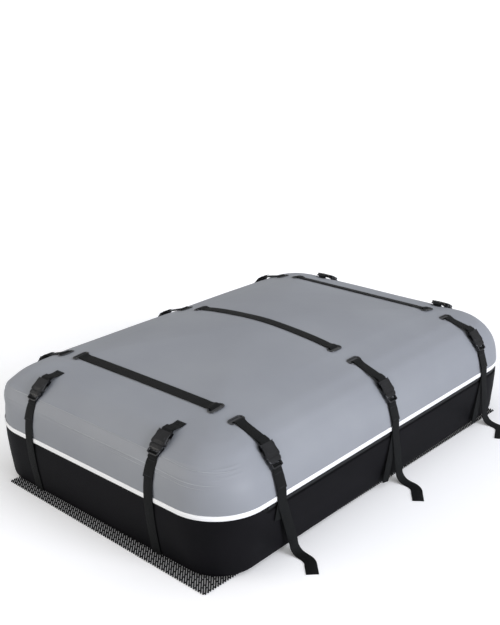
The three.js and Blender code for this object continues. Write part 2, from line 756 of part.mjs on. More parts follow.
// Slot eyelets on the cover, each over a slot cut through the sheet.
function stadium(length, width) {
  const straight = (length - width) / 2;
  const shape = new THREE.Shape();
  shape.moveTo(width / 2, -straight);
  shape.lineTo(width / 2, straight);
  shape.absarc(0, straight, width / 2, 0, Math.PI, false);
  shape.lineTo(-width / 2, -straight);
  shape.absarc(0, -straight, width / 2, Math.PI, 2 * Math.PI, false);
  return shape;
}

function eyeletRing() {
  const length = slotLength + 2 * slotWidth * slotRoom;
  const shape = stadium(length + 2 * eyeletRim, slotWidth + 2 * eyeletRim);
  shape.holes.push(stadium(length, slotWidth));
  return extrude(shape, eyeletHeight, slotSegments);
}

function eyeletFrame(x, y) {
  const { slopeX, slopeY, height } = eyeletPlane(x, y);
  const alongX = new THREE.Vector3(1, 0, slopeX).normalize();
  const normal = new THREE.Vector3(-slopeX, -slopeY, 1).normalize();
  const square = new THREE.Vector3().crossVectors(normal, alongX);
  return new THREE.Matrix4().makeBasis(alongX, square, normal).setPosition(x, y, height);
}

const slotCuts = [];
[['front', -webSpacing], ['middle', 0], ['rear', webSpacing]].forEach(([row, y]) => {
  [['left_outer', -outerEyelet], ['left_inner', -innerEyelet], ['right_inner', innerEyelet],
    ['right_outer', outerEyelet]].forEach(([side, x]) => {
    const frame = eyeletFrame(x, y);
    const ring = addPart(group, `eyelet_${row}_${side}`, eyeletRing(), finish(colours.plastic, 0.3));
    ring.quaternion.setFromRotationMatrix(frame);
    ring.position.setFromMatrixPosition(frame);
    ring.position.addScaledVector(new THREE.Vector3().setFromMatrixColumn(frame, 2), eyeletLift);
    const outline = stadium(slotLength + 2 * slotWidth * slotRoom, slotWidth);
    const slot = extrude(outline, slotCutDepth, slotSegments).translate(0, 0, -slotCutDepth / 2);
    slotCuts.push(slot.applyMatrix4(frame));
  });
});
addPart(group, 'top_cover',
  cut(sheetShell(coverLoops, crownPoint, sheetThickness), ...slotCuts),
  finish(colours.cover, 0.55));

// Buckle halves are drawn flat: +X along the strap, Y across it, Z out of the cover.
function socketBody() {
  const half = buckleWidth / 2;
  const back = socketBack;
  const neck = back + barWidth + webSlot + 4;
  const shape = new THREE.Shape();
  shape.moveTo(mouth, -half + 3);
  shape.lineTo(mouth, half - 3);
  shape.quadraticCurveTo(mouth - 2, half, mouth - 8, half);
  shape.quadraticCurveTo(mouth - 20, half - 3.5, neck + 6, half);
  shape.quadraticCurveTo(neck, half, neck - 2, half - 4);
  shape.lineTo(back + 2, half - 4);
  shape.quadraticCurveTo(back, half - 4, back, half - 7);
  shape.lineTo(back, -half + 7);
  shape.quadraticCurveTo(back, -half + 4, back + 2, -half + 4);
  shape.lineTo(neck - 2, -half + 4);
  shape.quadraticCurveTo(neck, -half, neck + 6, -half);
  shape.quadraticCurveTo(mouth - 20, -half + 3.5, mouth - 8, -half);
  shape.quadraticCurveTo(mouth - 2, -half, mouth, -half + 3);
  const body = extrude(shape, buckleHeight, 2);
  const wide = half - 2.4 * buckleWall + prongGap;
  const lid = buckleHeight - buckleWall;
  const cavity = block(mouth - prongLength - 3, mouth + 5, -wide, wide, buckleWall, lid);
  const windowStart = mouth - prongLength + 3;
  const windows = block(windowStart, windowStart + windowLength, -half - 5, half + 5, buckleWall, lid);
  const slot = block(back + barWidth, back + barWidth + webSlot, -half + 7, half - 7, -5, buckleHeight + 5);
  const barOver = block(back - 5, back + barWidth + 1, -half - 5, half + 5, barTop, buckleHeight + 5);
  const barUnder = block(back - 5, back + barWidth + 1, -half + 7, half - 7, -5, barBottom);
  return cut(body, cavity, windows, slot, barOver, barUnder);
}

function plugBody() {
  const half = buckleWidth / 2;
  const start = mouth + 0.5;
  const end = start + plugLength;
  const shoulder = start + 11;
  const shape = new THREE.Shape();
  shape.moveTo(start, -half + 3);
  shape.quadraticCurveTo(start + 2, -half, start + 6, -half);
  shape.lineTo(shoulder, -half + 2);
  shape.lineTo(end - 4, -half + 4);
  shape.quadraticCurveTo(end, -half + 4, end, -half + 9);
  shape.lineTo(end, half - 9);
  shape.quadraticCurveTo(end, half - 4, end - 4, half - 4);
  shape.lineTo(shoulder, half - 2);
  shape.lineTo(start + 6, half);
  shape.quadraticCurveTo(start + 2, half, start, half - 3);
  const body = extrude(shape, buckleHeight - 1, 2);
  const thinner = block(shoulder + 2, end + 5, -half - 5, half + 5, buckleHeight - 4, buckleHeight + 5);
  const slots = [shoulder + 3, end - barWidth - webSlot + 1].map((x) =>
    block(x, x + webSlot - 1.5, -half + 7, half - 7, -5, buckleHeight + 5));
  const ladder = cut(body, thinner, ...slots);
  const low = buckleWall + prongGap;
  const high = buckleHeight - buckleWall - prongGap;
  const wide = half - 2.4 * buckleWall;
  const tip = mouth - prongLength;
  const arms = [-1, 1].map((side) => {
    const arm = new THREE.Shape();
    arm.moveTo(start + 1, side * (wide - prongWidth - 1));
    arm.lineTo(start + 1, side * (wide - 1));
    arm.lineTo(mouth - 9, side * (wide - 2.5));
    arm.lineTo(mouth - 11, side * wide);
    arm.quadraticCurveTo(tip + 4, side * wide, tip, side * (wide - 5));
    arm.lineTo(tip + 3, side * (wide - prongWidth - 2));
    return extrude(arm, high - low, 3).translate(0, 0, low);
  });
  const tongue = block(tip + 8, start + 1, -tongueWidth / 2, tongueWidth / 2, low, high);
  return join(ladder, ...arms, tongue);
}

// A buckle half stands in its seat: the section plane is the station's X-Z plane.
function placeBuckle(parent, name, geometry, seat) {
  const half = addPart(parent, name, geometry, finish(colours.plastic, 0.4));
  half.rotation.y = -Math.atan2(seat.along.y, seat.along.x);
  half.position.set(seat.origin.x, 0, seat.origin.y);
}

// Lower strap: from under the plug over the shoulder and the hem, with its fold on top.
const strapStart = 11;
const layerStep = webThickness + fitGap;

// Stops of a webbing over the shoulder, between two distances along the strap from the middle of
// its buckle. The lift goes from its value on the cover to the one that clears the hem.
function shoulderRun(section, seat, lift, hemLift, from, to, steps) {
  const alongAt = (t) => section(t).sub(seat.origin).dot(seat.along);
  const find = (distance) => {
    let low = tAtHeight(section, hemTop + 6);
    let high = seat.t;
    for (let i = 0; i < 30; i += 1) {
      const t = (low + high) / 2;
      if (alongAt(t) > distance) low = t;
      else high = t;
    }
    return low;
  };
  const start = find(from);
  const end = find(to);
  const hemT = tAtHeight(section, hemTop + 6);
  const stops = [];
  for (let i = 0; i <= steps; i += 1) {
    const t = THREE.MathUtils.lerp(start, end, i / steps);
    const share = (seat.t - t) / (seat.t - hemT);
    stops.push(lifted(section, t, THREE.MathUtils.lerp(lift, hemLift, share ** 3)));
  }
  return stops;
}

const onWall = (points, place = 0) => points.map((p) => ({ at: webDrape(p, place), across: acrossY }));
const toHem = 400;
const patchSink = 0.1;

function foldPatch(section, seat, lift, hemLift) {
  const from = strapStart + 18;
  const run = shoulderRun(section, seat, lift, hemLift, from, from + strapFoldLength, 3);
  return webbing(onWall(run), webWidth + 1);
}

const hemFace = fitGap + hemThickness + fitGap + halfWeb + fitGap;

// The strap over the cover, and beside it the free end of the adjuster that hangs at the wall.
function sideStrap(station, section, seat) {
  const edge = bagWidth / 2;
  const innerLift = webLift + halfWeb;
  const tail = shoulderRun(section, seat, innerLift, hemFace, strapStart, toHem, 6);
  const main = shoulderRun(section, seat, innerLift + layerStep, hemFace + layerStep, strapStart, toHem, 6);
  const tailX = edge + hemFace;
  const tailStart = coverBottom - 10;
  const mainX = tailX + layerStep;
  const tailStops = [
    ...onWall(tail),
    { at: new THREE.Vector3(tailX, 0, coverBottom + hemWidth / 2), across: acrossY },
    ...[0, 0.5, 1].map((share) => {
      const hang = share * (1 - station.tailEnd / tailStart);
      const at = new THREE.Vector3(tailX - 6 * hang, -2 - tailDrift * hang, tailStart * (1 - hang));
      return { at, across: new THREE.Vector3(0, 1, -0.2 * share).normalize() };
    }),
  ];
  const drop = [
    ...onWall(main),
    { at: new THREE.Vector3(mainX, 0, coverBottom + hemWidth / 2), across: acrossY },
    { at: new THREE.Vector3(mainX, 0, coverBottom - 6), across: acrossY },
  ];
  const ground = groundGap + halfWeb;
  const drops = 4;
  for (let i = 1; i <= drops; i += 1) {
    const share = i / drops;
    const z = THREE.MathUtils.lerp(coverBottom - 6, ground + dropBend, share);
    drop.push({ at: new THREE.Vector3(mainX, station.slant * share, z), across: acrossY });
  }
  for (let i = 1; i <= 3; i += 1) {
    const angle = (Math.PI / 2) * (i / 3);
    const at = new THREE.Vector3(mainX + dropBend * (1 - Math.cos(angle)), station.slant,
      ground + dropBend * (1 - Math.sin(angle)));
    drop.push({ at, across: acrossY });
  }
  const turns = 5;
  const swing = THREE.MathUtils.degToRad(station.swing);
  const at = drop[drop.length - 1].at.clone();
  for (let i = 1; i <= turns; i += 1) {
    const heading = swing * Math.min(1, (i - 0.5) / 2.5);
    const step = (station.reach - dropBend) / turns;
    at.x += step * Math.cos(heading);
    at.y += step * Math.sin(heading);
    const facing = swing * Math.min(1, i / 2.5);
    drop.push({ at: at.clone(), across: new THREE.Vector3(-Math.sin(facing), Math.cos(facing), 0) });
  }
  const halfStep = layerStep / 2;
  const overPlug = strapStart + 14;
  const sewn = shoulderRun(section, seat, innerLift + halfStep, hemFace + halfStep, strapStart, overPlug, 1);
  const onTop = layerStep + webThickness - patchSink;
  return join(webbing(tailStops, tailWidth), webbing(drop), webbing(onWall(sewn), tailWidth - 2),
    foldPatch(section, seat, innerLift + onTop, hemFace + onTop));
}

// An end strap follows the tub's wall down to the seam of its floor.
function endStrap(section, seat) {
  const edge = bagLength / 2;
  const lift = webLift + halfWeb;
  const stops = onWall(shoulderRun(section, seat, lift, hemFace, strapStart, toHem, 6));
  stops.push({ at: new THREE.Vector3(edge + hemFace, 0, coverBottom + hemWidth / 2), across: acrossY });
  stops.push({ at: new THREE.Vector3(edge + hemFace, 0, coverBottom - 4), across: acrossY });
  tubSection.slice(1, 6).forEach(([inset, z]) => {
    stops.push({ at: new THREE.Vector3(edge - inset + lift + 0.6, 0, z), across: acrossY });
  });
  const patchLift = webThickness - patchSink;
  return join(webbing(stops), foldPatch(section, seat, lift + patchLift, hemFace + patchLift));
}

function station({ turn, place }, isSide) {
  const frame = new THREE.Group();
  frame.rotation.z = THREE.MathUtils.degToRad(turn);
  if (isSide) frame.position.y = place;
  else frame.position.x = place;
  group.add(frame);
  return frame;
}

sideStations.forEach((spot) => {
  const frame = station(spot, true);
  const section = sideSection(spot.place);
  const seat = buckleSeat(section, sideBuckleLevel);
  placeBuckle(frame, `buckle_socket_${spot.name}`, socketBody(), seat);
  placeBuckle(frame, `buckle_plug_${spot.name}`, plugBody(), seat);
  addPart(frame, `lower_strap_${spot.name}`, sideStrap(spot, section, seat), finish(colours.web, 0.85));
});

// The sewn end of an upper strap lies on the cover, which rises from one of its edges to the other.
function sewnEnd({ end, place }) {
  const outward = end === 'front' ? -1 : 1;
  return [0, 0.5, 1].map((share) => {
    const distance = endStrapStart + share * sewnLength;
    const [near, far] = [-1, 1].map((side) =>
      coverHeight(place - (outward * side * webWidth) / 2, outward * distance));
    return {
      at: new THREE.Vector3(distance, 0, (near + far) / 2 + webLift + halfWeb + 0.2),
      across: new THREE.Vector3(0, webWidth, far - near).normalize(),
    };
  });
}

endStations.forEach((spot) => {
  const frame = station(spot, false);
  const section = endSection(spot.end);
  const seat = buckleSeat(section, endBuckleLevel);
  placeBuckle(frame, `buckle_socket_${spot.name}`, socketBody(), seat);
  placeBuckle(frame, `buckle_plug_${spot.name}`, plugBody(), seat);
  addPart(frame, `lower_strap_${spot.name}`, endStrap(section, seat), finish(colours.web, 0.85));
  const upper = webbing([...sewnEnd(spot), ...onWall(barLoop(seat))]);
  addPart(frame, `upper_strap_${spot.name}`, upper, finish(colours.web, 0.85));
});

export default group;
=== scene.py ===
"""Roof cargo bag: fabric shells, webbing, buckles, zip and mesh mat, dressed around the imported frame.

All the making is in millimetres, +Z up, X the width, Y the length, the front end facing -Y.
A mesh is turned to metres when it becomes an object.
"""
import logging
import math
from dataclasses import dataclass
from enum import Enum
from typing import Callable, Iterable, Iterator, Sequence

import bpy
import numpy as np
from mathutils import Matrix, Vector


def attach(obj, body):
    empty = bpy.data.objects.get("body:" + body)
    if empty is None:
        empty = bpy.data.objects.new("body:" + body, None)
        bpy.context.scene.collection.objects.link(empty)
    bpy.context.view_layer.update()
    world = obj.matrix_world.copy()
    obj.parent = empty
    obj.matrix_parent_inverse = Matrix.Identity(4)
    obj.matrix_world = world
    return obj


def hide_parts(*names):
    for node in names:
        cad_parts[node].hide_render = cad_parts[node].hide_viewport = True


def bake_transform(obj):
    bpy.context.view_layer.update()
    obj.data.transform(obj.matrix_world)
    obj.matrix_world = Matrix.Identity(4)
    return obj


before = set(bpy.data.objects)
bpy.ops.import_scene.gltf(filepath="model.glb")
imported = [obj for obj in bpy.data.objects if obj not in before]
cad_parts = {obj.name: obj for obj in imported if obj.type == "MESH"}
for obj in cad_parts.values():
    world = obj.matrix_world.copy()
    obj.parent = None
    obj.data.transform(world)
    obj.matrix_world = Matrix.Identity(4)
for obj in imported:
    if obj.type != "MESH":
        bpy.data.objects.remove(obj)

log = logging.getLogger("roof_cargo_bag")
MM = 0.001
Section = Callable[[float], np.ndarray]


# Colours, nodes and finishes

def linear(colour: str) -> tuple[float, float, float, float]:
    """Turns an sRGB hex value to the linear colour that a shader socket takes.

    Args:
        colour: The value, with its hash sign.

    Returns:
        Red, green, blue and a full alpha.
    """
    parts = [int(colour[i:i + 2], 16) / 255 for i in (1, 3, 5)]
    curve = [c / 12.92 if c <= 0.04045 else ((c + 0.055) / 1.055) ** 2.4 for c in parts]
    return (*curve, 1.0)


def add_node(tree: bpy.types.NodeTree, kind: str, inputs: dict | None = None,
             **settings) -> bpy.types.Node:
    """Adds one node.

    Args:
        tree: The material's or the world's node tree.
        kind: The node's Blender type.
        inputs: Values or output sockets for its inputs, by name or place.
        settings: Properties of the node itself.

    Returns:
        The node.
    """
    node = tree.nodes.new(kind)
    for name, value in settings.items():
        setattr(node, name, value)
    for key, value in (inputs or {}).items():
        if isinstance(value, bpy.types.NodeSocket):
            tree.links.new(value, node.inputs[key])
        else:
            node.inputs[key].default_value = value
    return node


def math_chain(tree: bpy.types.NodeTree, value, *steps: tuple) -> bpy.types.NodeSocket:
    """Runs a value through Math nodes; a step is an operation and its other operand, if it has one.

    Args:
        tree: The node tree.
        value: The number or socket to start with.
        steps: The steps.

    Returns:
        The output of the last node.
    """
    for operation, *operand in steps:
        inputs = {0: value, **({1: operand[0]} if operand else {})}
        value = add_node(tree, "ShaderNodeMath", inputs, operation=operation).outputs[0]
    return value


class Weave(Enum):
    """How the thread pattern of a finish lies."""

    NONE = "none"
    PLAIN = "plain weave, on the three planes of the object"
    WEBBING = "narrow fabric, along its own length"
    GRAIN = "fine moulded grain"


@dataclass(frozen=True)
class Finish:
    """One real surface: what it is made of and how its surface was made.

    Sizes are millimetres: pitch is the thread or grain spacing, relief its height and patch the
    size of the soft changes in tone.
    """

    name: str
    colour: str
    second_colour: str
    roughness: float
    rough_change: float = 0.06
    metallic: float = 0.0
    ior: float = 1.5
    sheen: float = 0.0
    coat: float = 0.0
    specular: float = 0.5
    weave: Weave = Weave.NONE
    pitch: float = 1.0
    relief: float = 0.1
    patch: float = 120.0

    def material(self) -> bpy.types.Material:
        """Makes the material on the first call and finds it again after that.

        Returns:
            The material.
        """
        made = bpy.data.materials.get(self.name)
        if made:
            return made
        made = bpy.data.materials.new(self.name)
        made.use_nodes = True
        tree = made.node_tree
        tree.nodes.clear()
        shader = add_node(tree, "ShaderNodeBsdfPrincipled", {
            "Metallic": self.metallic, "IOR": self.ior, "Sheen Weight": self.sheen,
            "Coat Weight": self.coat, "Coat Roughness": 0.3, "Specular IOR Level": self.specular,
        })
        place = add_node(tree, "ShaderNodeTexCoord").outputs["Object"]
        broad = add_node(tree, "ShaderNodeTexNoise", {
            "Vector": place, "Scale": 1 / (self.patch * MM), "Detail": 3.0, "Roughness": 0.55,
        }).outputs[0]
        height = self._height(tree, place)
        clamp = (("MINIMUM", 1.0), ("MAXIMUM", 0.0))
        tone = math_chain(tree, broad, ("SUBTRACT", 0.3), ("MULTIPLY", 2.2), *clamp)
        if height is not None:
            tone = math_chain(tree, height, ("MULTIPLY", 0.35), ("ADD", tone), *clamp)
        base = add_node(tree, "ShaderNodeMix", {
            0: tone, 6: linear(self.colour), 7: linear(self.second_colour),
        }, data_type="RGBA").outputs[2]
        rough = math_chain(tree, broad, ("SUBTRACT", 0.5), ("MULTIPLY", 2 * self.rough_change),
                           ("ADD", self.roughness))
        tree.links.new(base, shader.inputs["Base Color"])
        tree.links.new(rough, shader.inputs["Roughness"])
        if height is not None:
            bump = add_node(tree, "ShaderNodeBump", {
                "Height": height, "Strength": 1.0, "Distance": self.relief * MM,
            }).outputs[0]
            tree.links.new(bump, shader.inputs["Normal"])
        add_node(tree, "ShaderNodeOutputMaterial", {0: shader.outputs[0]})
        return made

    def _height(self, tree: bpy.types.NodeTree,
                place: bpy.types.NodeSocket) -> bpy.types.NodeSocket | None:
        """Builds the height pattern of the weave or grain, from -1 to 1.

        Args:
            tree: The material's node tree.
            place: The object's coordinates.

        Returns:
            The pattern, or None on a smooth surface.
        """
        if self.weave is Weave.PLAIN:
            return self._plain(tree, place)
        if self.weave is Weave.WEBBING:
            return self._webbing(tree)
        if self.weave is Weave.GRAIN:
            grain = add_node(tree, "ShaderNodeTexNoise", {
                "Vector": place, "Scale": 1 / (self.pitch * MM), "Detail": 2.0, "Roughness": 0.6,
            }).outputs[0]
            return math_chain(tree, grain, ("SUBTRACT", 0.5), ("MULTIPLY", 2.0))
        return None

    def _plain(self, tree: bpy.types.NodeTree, place: bpy.types.NodeSocket) -> bpy.types.NodeSocket:
        """Threads crossing on the plane that the surface faces, mixed by the squares of its normal.

        Args:
            tree: The material's node tree.
            place: The object's coordinates.

        Returns:
            The pattern.
        """
        turn = 2 * math.pi / (self.pitch * MM)
        parts = add_node(tree, "ShaderNodeSeparateXYZ", {0: place}).outputs
        normal = add_node(tree, "ShaderNodeNewGeometry").outputs["Normal"]
        facing = add_node(tree, "ShaderNodeSeparateXYZ", {0: normal}).outputs
        threads = [math_chain(tree, part, ("MULTIPLY", turn), ("SINE",)) for part in parts]
        total = None
        for across, first, second in ((2, 0, 1), (1, 0, 2), (0, 1, 2)):
            weight = math_chain(tree, facing[across], ("POWER", 2.0))
            crossed = math_chain(tree, threads[first], ("MULTIPLY", threads[second]),
                                 ("MULTIPLY", weight))
            total = crossed if total is None else math_chain(tree, crossed, ("ADD", total))
        return total

    def _webbing(self, tree: bpy.types.NodeTree) -> bpy.types.NodeSocket:
        """Warp ribs that step by half a rib at each weft, read from the ribbon's own measure.

        Args:
            tree: The material's node tree.

        Returns:
            The pattern.
        """
        measure = add_node(tree, "ShaderNodeAttribute", attribute_name="weave",
                           attribute_type="GEOMETRY")
        parts = add_node(tree, "ShaderNodeSeparateXYZ", {0: measure.outputs["Vector"]}).outputs
        turn = 2 * math.pi / self.pitch
        weft = math_chain(tree, parts[1], ("MULTIPLY", turn * 0.8), ("SINE",))
        step = math_chain(tree, weft, ("MULTIPLY", 0.9))
        warp = math_chain(tree, parts[0], ("MULTIPLY", turn), ("ADD", step), ("SINE",))
        low = math_chain(tree, weft, ("MULTIPLY", 0.3))
        return math_chain(tree, warp, ("MULTIPLY", 0.7), ("ADD", low))


# Polyester coated with grey PVC: satin, with the cloth's weave printing through the coating.
COVER_CLOTH = Finish("pvc_coated_polyester_grey", "#8B8E94", "#94979C", 0.5, 0.05, ior=1.45,
                     specular=0.35, weave=Weave.PLAIN, pitch=2.4, relief=0.035, patch=260)
# Bead that the hot-air weld leaves beside a lap of that cloth, smoother than the weave; its paler colour is
# a painted highlight along the welds and the fold.
WELD_BEAD_PAINTED_HIGHLIGHT = Finish("welded_pvc_bead_painted_highlight", "#A4A7AC", "#ACAFB4", 0.35, 0.04, ior=1.45,
                   weave=Weave.GRAIN, pitch=3.0, relief=0.02, patch=40)
# Black tarpaulin of the same coating, which looks a little browner where light grazes it.
TUB_CLOTH = Finish("pvc_coated_polyester_black", "#0F0F11", "#161518", 0.55, 0.06, ior=1.45,
                   specular=0.08, weave=Weave.PLAIN, pitch=2.6, relief=0.05, patch=180)
# White retroreflective vinyl tape, smooth and bright.
HEM_TAPE = Finish("retroreflective_vinyl_tape", "#FCFCFC", "#F6F7F8", 0.3, 0.03,
                  weave=Weave.GRAIN, pitch=1.2, relief=0.03, patch=60)
# Polypropylene webbing, ribbed along its length, with the dull shine of filament yarn.
WEBBING = Finish("woven_polypropylene_webbing", "#060707", "#0F1112", 0.62, 0.08, sheen=0.02,
                 specular=0.15, weave=Weave.WEBBING, pitch=2.6, relief=0.35, patch=40)
# Acetal buckles and eyelets, moulded with a fine matt grain.
ACETAL = Finish("moulded_acetal_black", "#0C0D0F", "#131418", 0.22, 0.06, ior=1.48, specular=0.6,
                weave=Weave.GRAIN, pitch=0.8, relief=0.02, patch=25)
# The same acetal from a polished mould, smoother and with a stronger specular, so that a rim shows a bright
# line along its dome; its colours are set lighter than the black acetal's, a painted highlight.
POLISHED_ACETAL_PAINTED_HIGHLIGHT = Finish("polished_acetal_painted_highlight", "#1B1C1F", "#232528", 0.18, 0.04, ior=1.48,
                         specular=0.9, weave=Weave.GRAIN, pitch=0.8, relief=0.01, patch=25)
# Polyester sewing thread.
THREAD = Finish("bonded_polyester_thread", "#24272A", "#30343A", 0.6)
# Woven zip tape behind the chain.
ZIP_TAPE = Finish("woven_polyester_zip_tape", "#101011", "#171719", 0.75, specular=0.2,
                  weave=Weave.PLAIN, pitch=1.8, relief=0.2, patch=30)
# Nylon coil of the zip, drawn and wound, with a soft gloss.
COIL = Finish("nylon_zip_coil", "#1A1B1D", "#222327", 0.38, patch=20)
# Die-cast zinc slider, black enamelled.
ENAMEL = Finish("enamelled_zinc_casting", "#202225", "#2A2C30", 0.3, 0.05, coat=0.6,
                weave=Weave.GRAIN, pitch=1.5, relief=0.03, patch=15)
# Polyester scrim dipped in PVC foam: dull, with a blistered skin.
FOAM_MESH = Finish("pvc_foam_dipped_scrim", "#19191B", "#242528", 0.85, 0.05, specular=0.3,
                   weave=Weave.GRAIN, pitch=1.6, relief=0.25, patch=30)


# Meshes in millimetres

def placed(name: str, data: bpy.types.ID) -> bpy.types.Object:
    """Makes an object of a mesh, curve, lamp or camera and links it to the scene.

    Args:
        name: The object's name.
        data: What it shows.

    Returns:
        The object.
    """
    made = bpy.data.objects.new(name, data)
    bpy.context.scene.collection.objects.link(made)
    return made


def dress(made: bpy.types.Object, body: str = "", node: str = "") -> bpy.types.Object:
    """Args:
        made: The piece.
        body: The body that it rides on, if it rides on one.
        node: The frame's node that it stands for, if it stands for one.

    Returns:
        The piece.
    """
    if node:
        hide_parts(node)
    if body:
        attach(made, body)
    log.info("%s: %d faces", made.name, len(made.data.polygons))
    return made


def turned(points: np.ndarray, matrix: Matrix) -> np.ndarray:
    """Points moved by a matrix, both in millimetres."""
    turn = np.array(matrix)
    return points @ turn[:3, :3].T + turn[:3, 3]


def circle(count: int) -> np.ndarray:
    """Angles of points spaced evenly round a circle."""
    return np.linspace(0, 2 * math.pi, count, endpoint=False)


def bell(away: np.ndarray, width: float) -> np.ndarray:
    """Bell curve, 1 where the distance is nothing and fading out past the width."""
    return np.exp(-(away / width) ** 2)


def halved(holds: Callable[[float], bool], low: float, high: float) -> float:
    """Finds by halving where a test that holds at first stops holding.

    Args:
        holds: The test.
        low: Where it holds.
        high: Where the search ends.

    Returns:
        The last value found at which it holds.
    """
    for _ in range(26):
        middle = (low + high) / 2
        if holds(middle):
            low = middle
        else:
            high = middle
    return low


class Shape:
    """Points and faces of one piece, put together from several closed or open bodies."""

    def __init__(self) -> None:
        """Starts with nothing."""
        self.points: list[np.ndarray] = []
        self.faces: list[tuple[int, ...]] = []
        self.weave: list[np.ndarray] = []
        self.count = 0

    def add(self, points: np.ndarray, faces: Iterable[Sequence[int]],
            weave: np.ndarray | None = None) -> "Shape":
        """Adds a body.

        Args:
            points: Its points, one row each.
            faces: Its faces, as places in those points.
            weave: Across and along measures of each point on a narrow fabric.

        Returns:
            The shape itself.
        """
        points = np.asarray(points, float).reshape(-1, 3)
        self.faces += [tuple(int(i) + self.count for i in face) for face in faces]
        self.points.append(points)
        measure = np.zeros((len(points), 2)) if weave is None else np.asarray(weave, float)
        self.weave.append(measure.reshape(-1, 2))
        self.count += len(points)
        return self

    def grid(self, rows: np.ndarray, closed: bool = False, weave: np.ndarray | None = None,
             caps: bool = False) -> "Shape":
        """Adds a sheet of quads.

        Args:
            rows: Points as rows of equal length.
            closed: Whether each row closes on itself.
            weave: Measures of each point on a narrow fabric.
            caps: Whether the first and the last row are filled.

        Returns:
            The shape itself.
        """
        m, n = rows.shape[:2]
        last = n if closed else n - 1
        faces = [(i * n + j, i * n + (j + 1) % n, (i + 1) * n + (j + 1) % n, (i + 1) * n + j)
                 for i in range(m - 1) for j in range(last)]
        if caps:
            faces.append(tuple(reversed(range(n))))
            faces.append(tuple(range((m - 1) * n, m * n)))
        return self.add(rows.reshape(-1, 3), faces, weave)

    def plate(self, outline: np.ndarray, low: float, high: float, edge: float = 0.8,
              holes: Sequence[np.ndarray] = ()) -> "Shape":
        """Adds a flat plate with rounded edges.

        Args:
            outline: Its outline in the plane, one row a point.
            low: Height of its underside.
            high: Height of its top.
            edge: Radius of the rounded edges.
            holes: Outlines of holes through it.

        Returns:
            The shape itself.
        """
        curve = bpy.data.curves.new("plate", "CURVE")
        curve.dimensions = "2D"
        curve.fill_mode = "BOTH"
        edge = min(edge, (high - low) / 2 - 0.01)
        curve.extrude = (high - low) / 2 - edge
        curve.bevel_depth = edge
        curve.bevel_resolution = 2
        curve.offset = -edge
        for loop in (outline, *holes):
            spline = curve.splines.new("POLY")
            spline.use_cyclic_u = True
            spline.points.add(len(loop) - 1)
            zeros, ones = np.zeros(len(loop)), np.ones(len(loop))
            spline.points.foreach_set("co", np.c_[loop, zeros, ones].ravel())
        thing = placed("plate", curve)
        graph = bpy.context.evaluated_depsgraph_get()
        mesh = bpy.data.meshes.new_from_object(thing.evaluated_get(graph))
        points = np.array([v.co for v in mesh.vertices]).reshape(-1, 3) + [0, 0, (low + high) / 2]
        faces = [tuple(p.vertices) for p in mesh.polygons]
        bpy.data.objects.remove(thing)
        bpy.data.curves.remove(curve)
        bpy.data.meshes.remove(mesh)
        return self.add(points, faces)

    def thing(self, name: str, finish: Finish, sharp: float = 40.0,
              matrix: Matrix | None = None) -> bpy.types.Object:
        """Makes the object in metres.

        Args:
            name: The piece's name.
            finish: Its finish.
            sharp: Angle in degrees above which an edge stays sharp.
            matrix: Where the whole shape goes, in millimetres.

        Returns:
            The object.
        """
        points = np.concatenate(self.points)
        if matrix is not None:
            points = turned(points, matrix)
        mesh = bpy.data.meshes.new(name)
        mesh.from_pydata((points * MM).tolist(), [], self.faces)
        measure = np.concatenate(self.weave)
        if measure.any():
            attribute = mesh.attributes.new("weave", "FLOAT_VECTOR", "POINT")
            flat = np.c_[measure, np.zeros(len(measure))].astype(np.float32)
            attribute.data.foreach_set("vector", flat.ravel())
        mesh.validate()
        mesh.shade_smooth()
        mesh.set_sharp_from_angle(angle=math.radians(sharp))
        mesh.materials.append(finish.material())
        return placed(name, mesh)


def spline_at(points: np.ndarray, t: float) -> np.ndarray:
    """Point at t, from 0 to 1, of the uniform Catmull-Rom curve through the points.

    Args:
        points: The points, one row each.
        t: Where on the curve.

    Returns:
        The point.
    """
    last = len(points) - 1
    place = min(max(t, 0.0), 1.0) * last
    i = min(int(place), last - 1)
    w = place - i
    a, b, c, d = (points[min(max(k, 0), last)] for k in (i - 1, i, i + 1, i + 2))
    start, end = (c - a) / 2, (d - b) / 2
    cubic, square = 2 * b - 2 * c + start + end, -3 * b + 3 * c - 2 * start - end
    return cubic * w ** 3 + square * w ** 2 + start * w + b


def smooth_path(points: np.ndarray, step: float) -> np.ndarray:
    """Points about a step apart on a centripetal curve through the given ones.

    Args:
        points: Rows to pass through; columns past the third are carried along.
        step: Spacing in millimetres.

    Returns:
        The rows of the finer path.
    """
    points = np.asarray(points, float)
    ends = np.vstack([2 * points[0] - points[1], points, 2 * points[-1] - points[-2]])
    gaps = np.maximum(np.linalg.norm(np.diff(ends[:, :3], axis=0), axis=1), 1e-6) ** 0.5
    rows = []
    for i in range(1, len(ends) - 2):
        t0, t1 = 0.0, gaps[i - 1]
        t2, t3 = t1 + gaps[i], t1 + gaps[i] + gaps[i + 1]
        count = max(1, round(gaps[i] ** 2 / step))
        for t in np.linspace(t1, t2, count, endpoint=False):
            a1 = (t1 - t) / (t1 - t0) * ends[i - 1] + (t - t0) / (t1 - t0) * ends[i]
            a2 = (t2 - t) / (t2 - t1) * ends[i] + (t - t1) / (t2 - t1) * ends[i + 1]
            a3 = (t3 - t) / (t3 - t2) * ends[i + 1] + (t - t2) / (t3 - t2) * ends[i + 2]
            b1 = (t2 - t) / (t2 - t0) * a1 + (t - t0) / (t2 - t0) * a2
            b2 = (t3 - t) / (t3 - t1) * a2 + (t - t1) / (t3 - t1) * a3
            rows.append((t2 - t) / (t2 - t1) * b1 + (t - t1) / (t2 - t1) * b2)
    rows.append(points[-1])
    return np.array(rows)


def unit(v: np.ndarray) -> np.ndarray:
    """The vector, or each row of vectors, at length one."""
    return v / np.maximum(np.linalg.norm(v, axis=-1, keepdims=True), 1e-9)


@dataclass(frozen=True)
class Stop:
    """One place of a webbing: its middle and its direction across."""

    at: np.ndarray
    across: np.ndarray


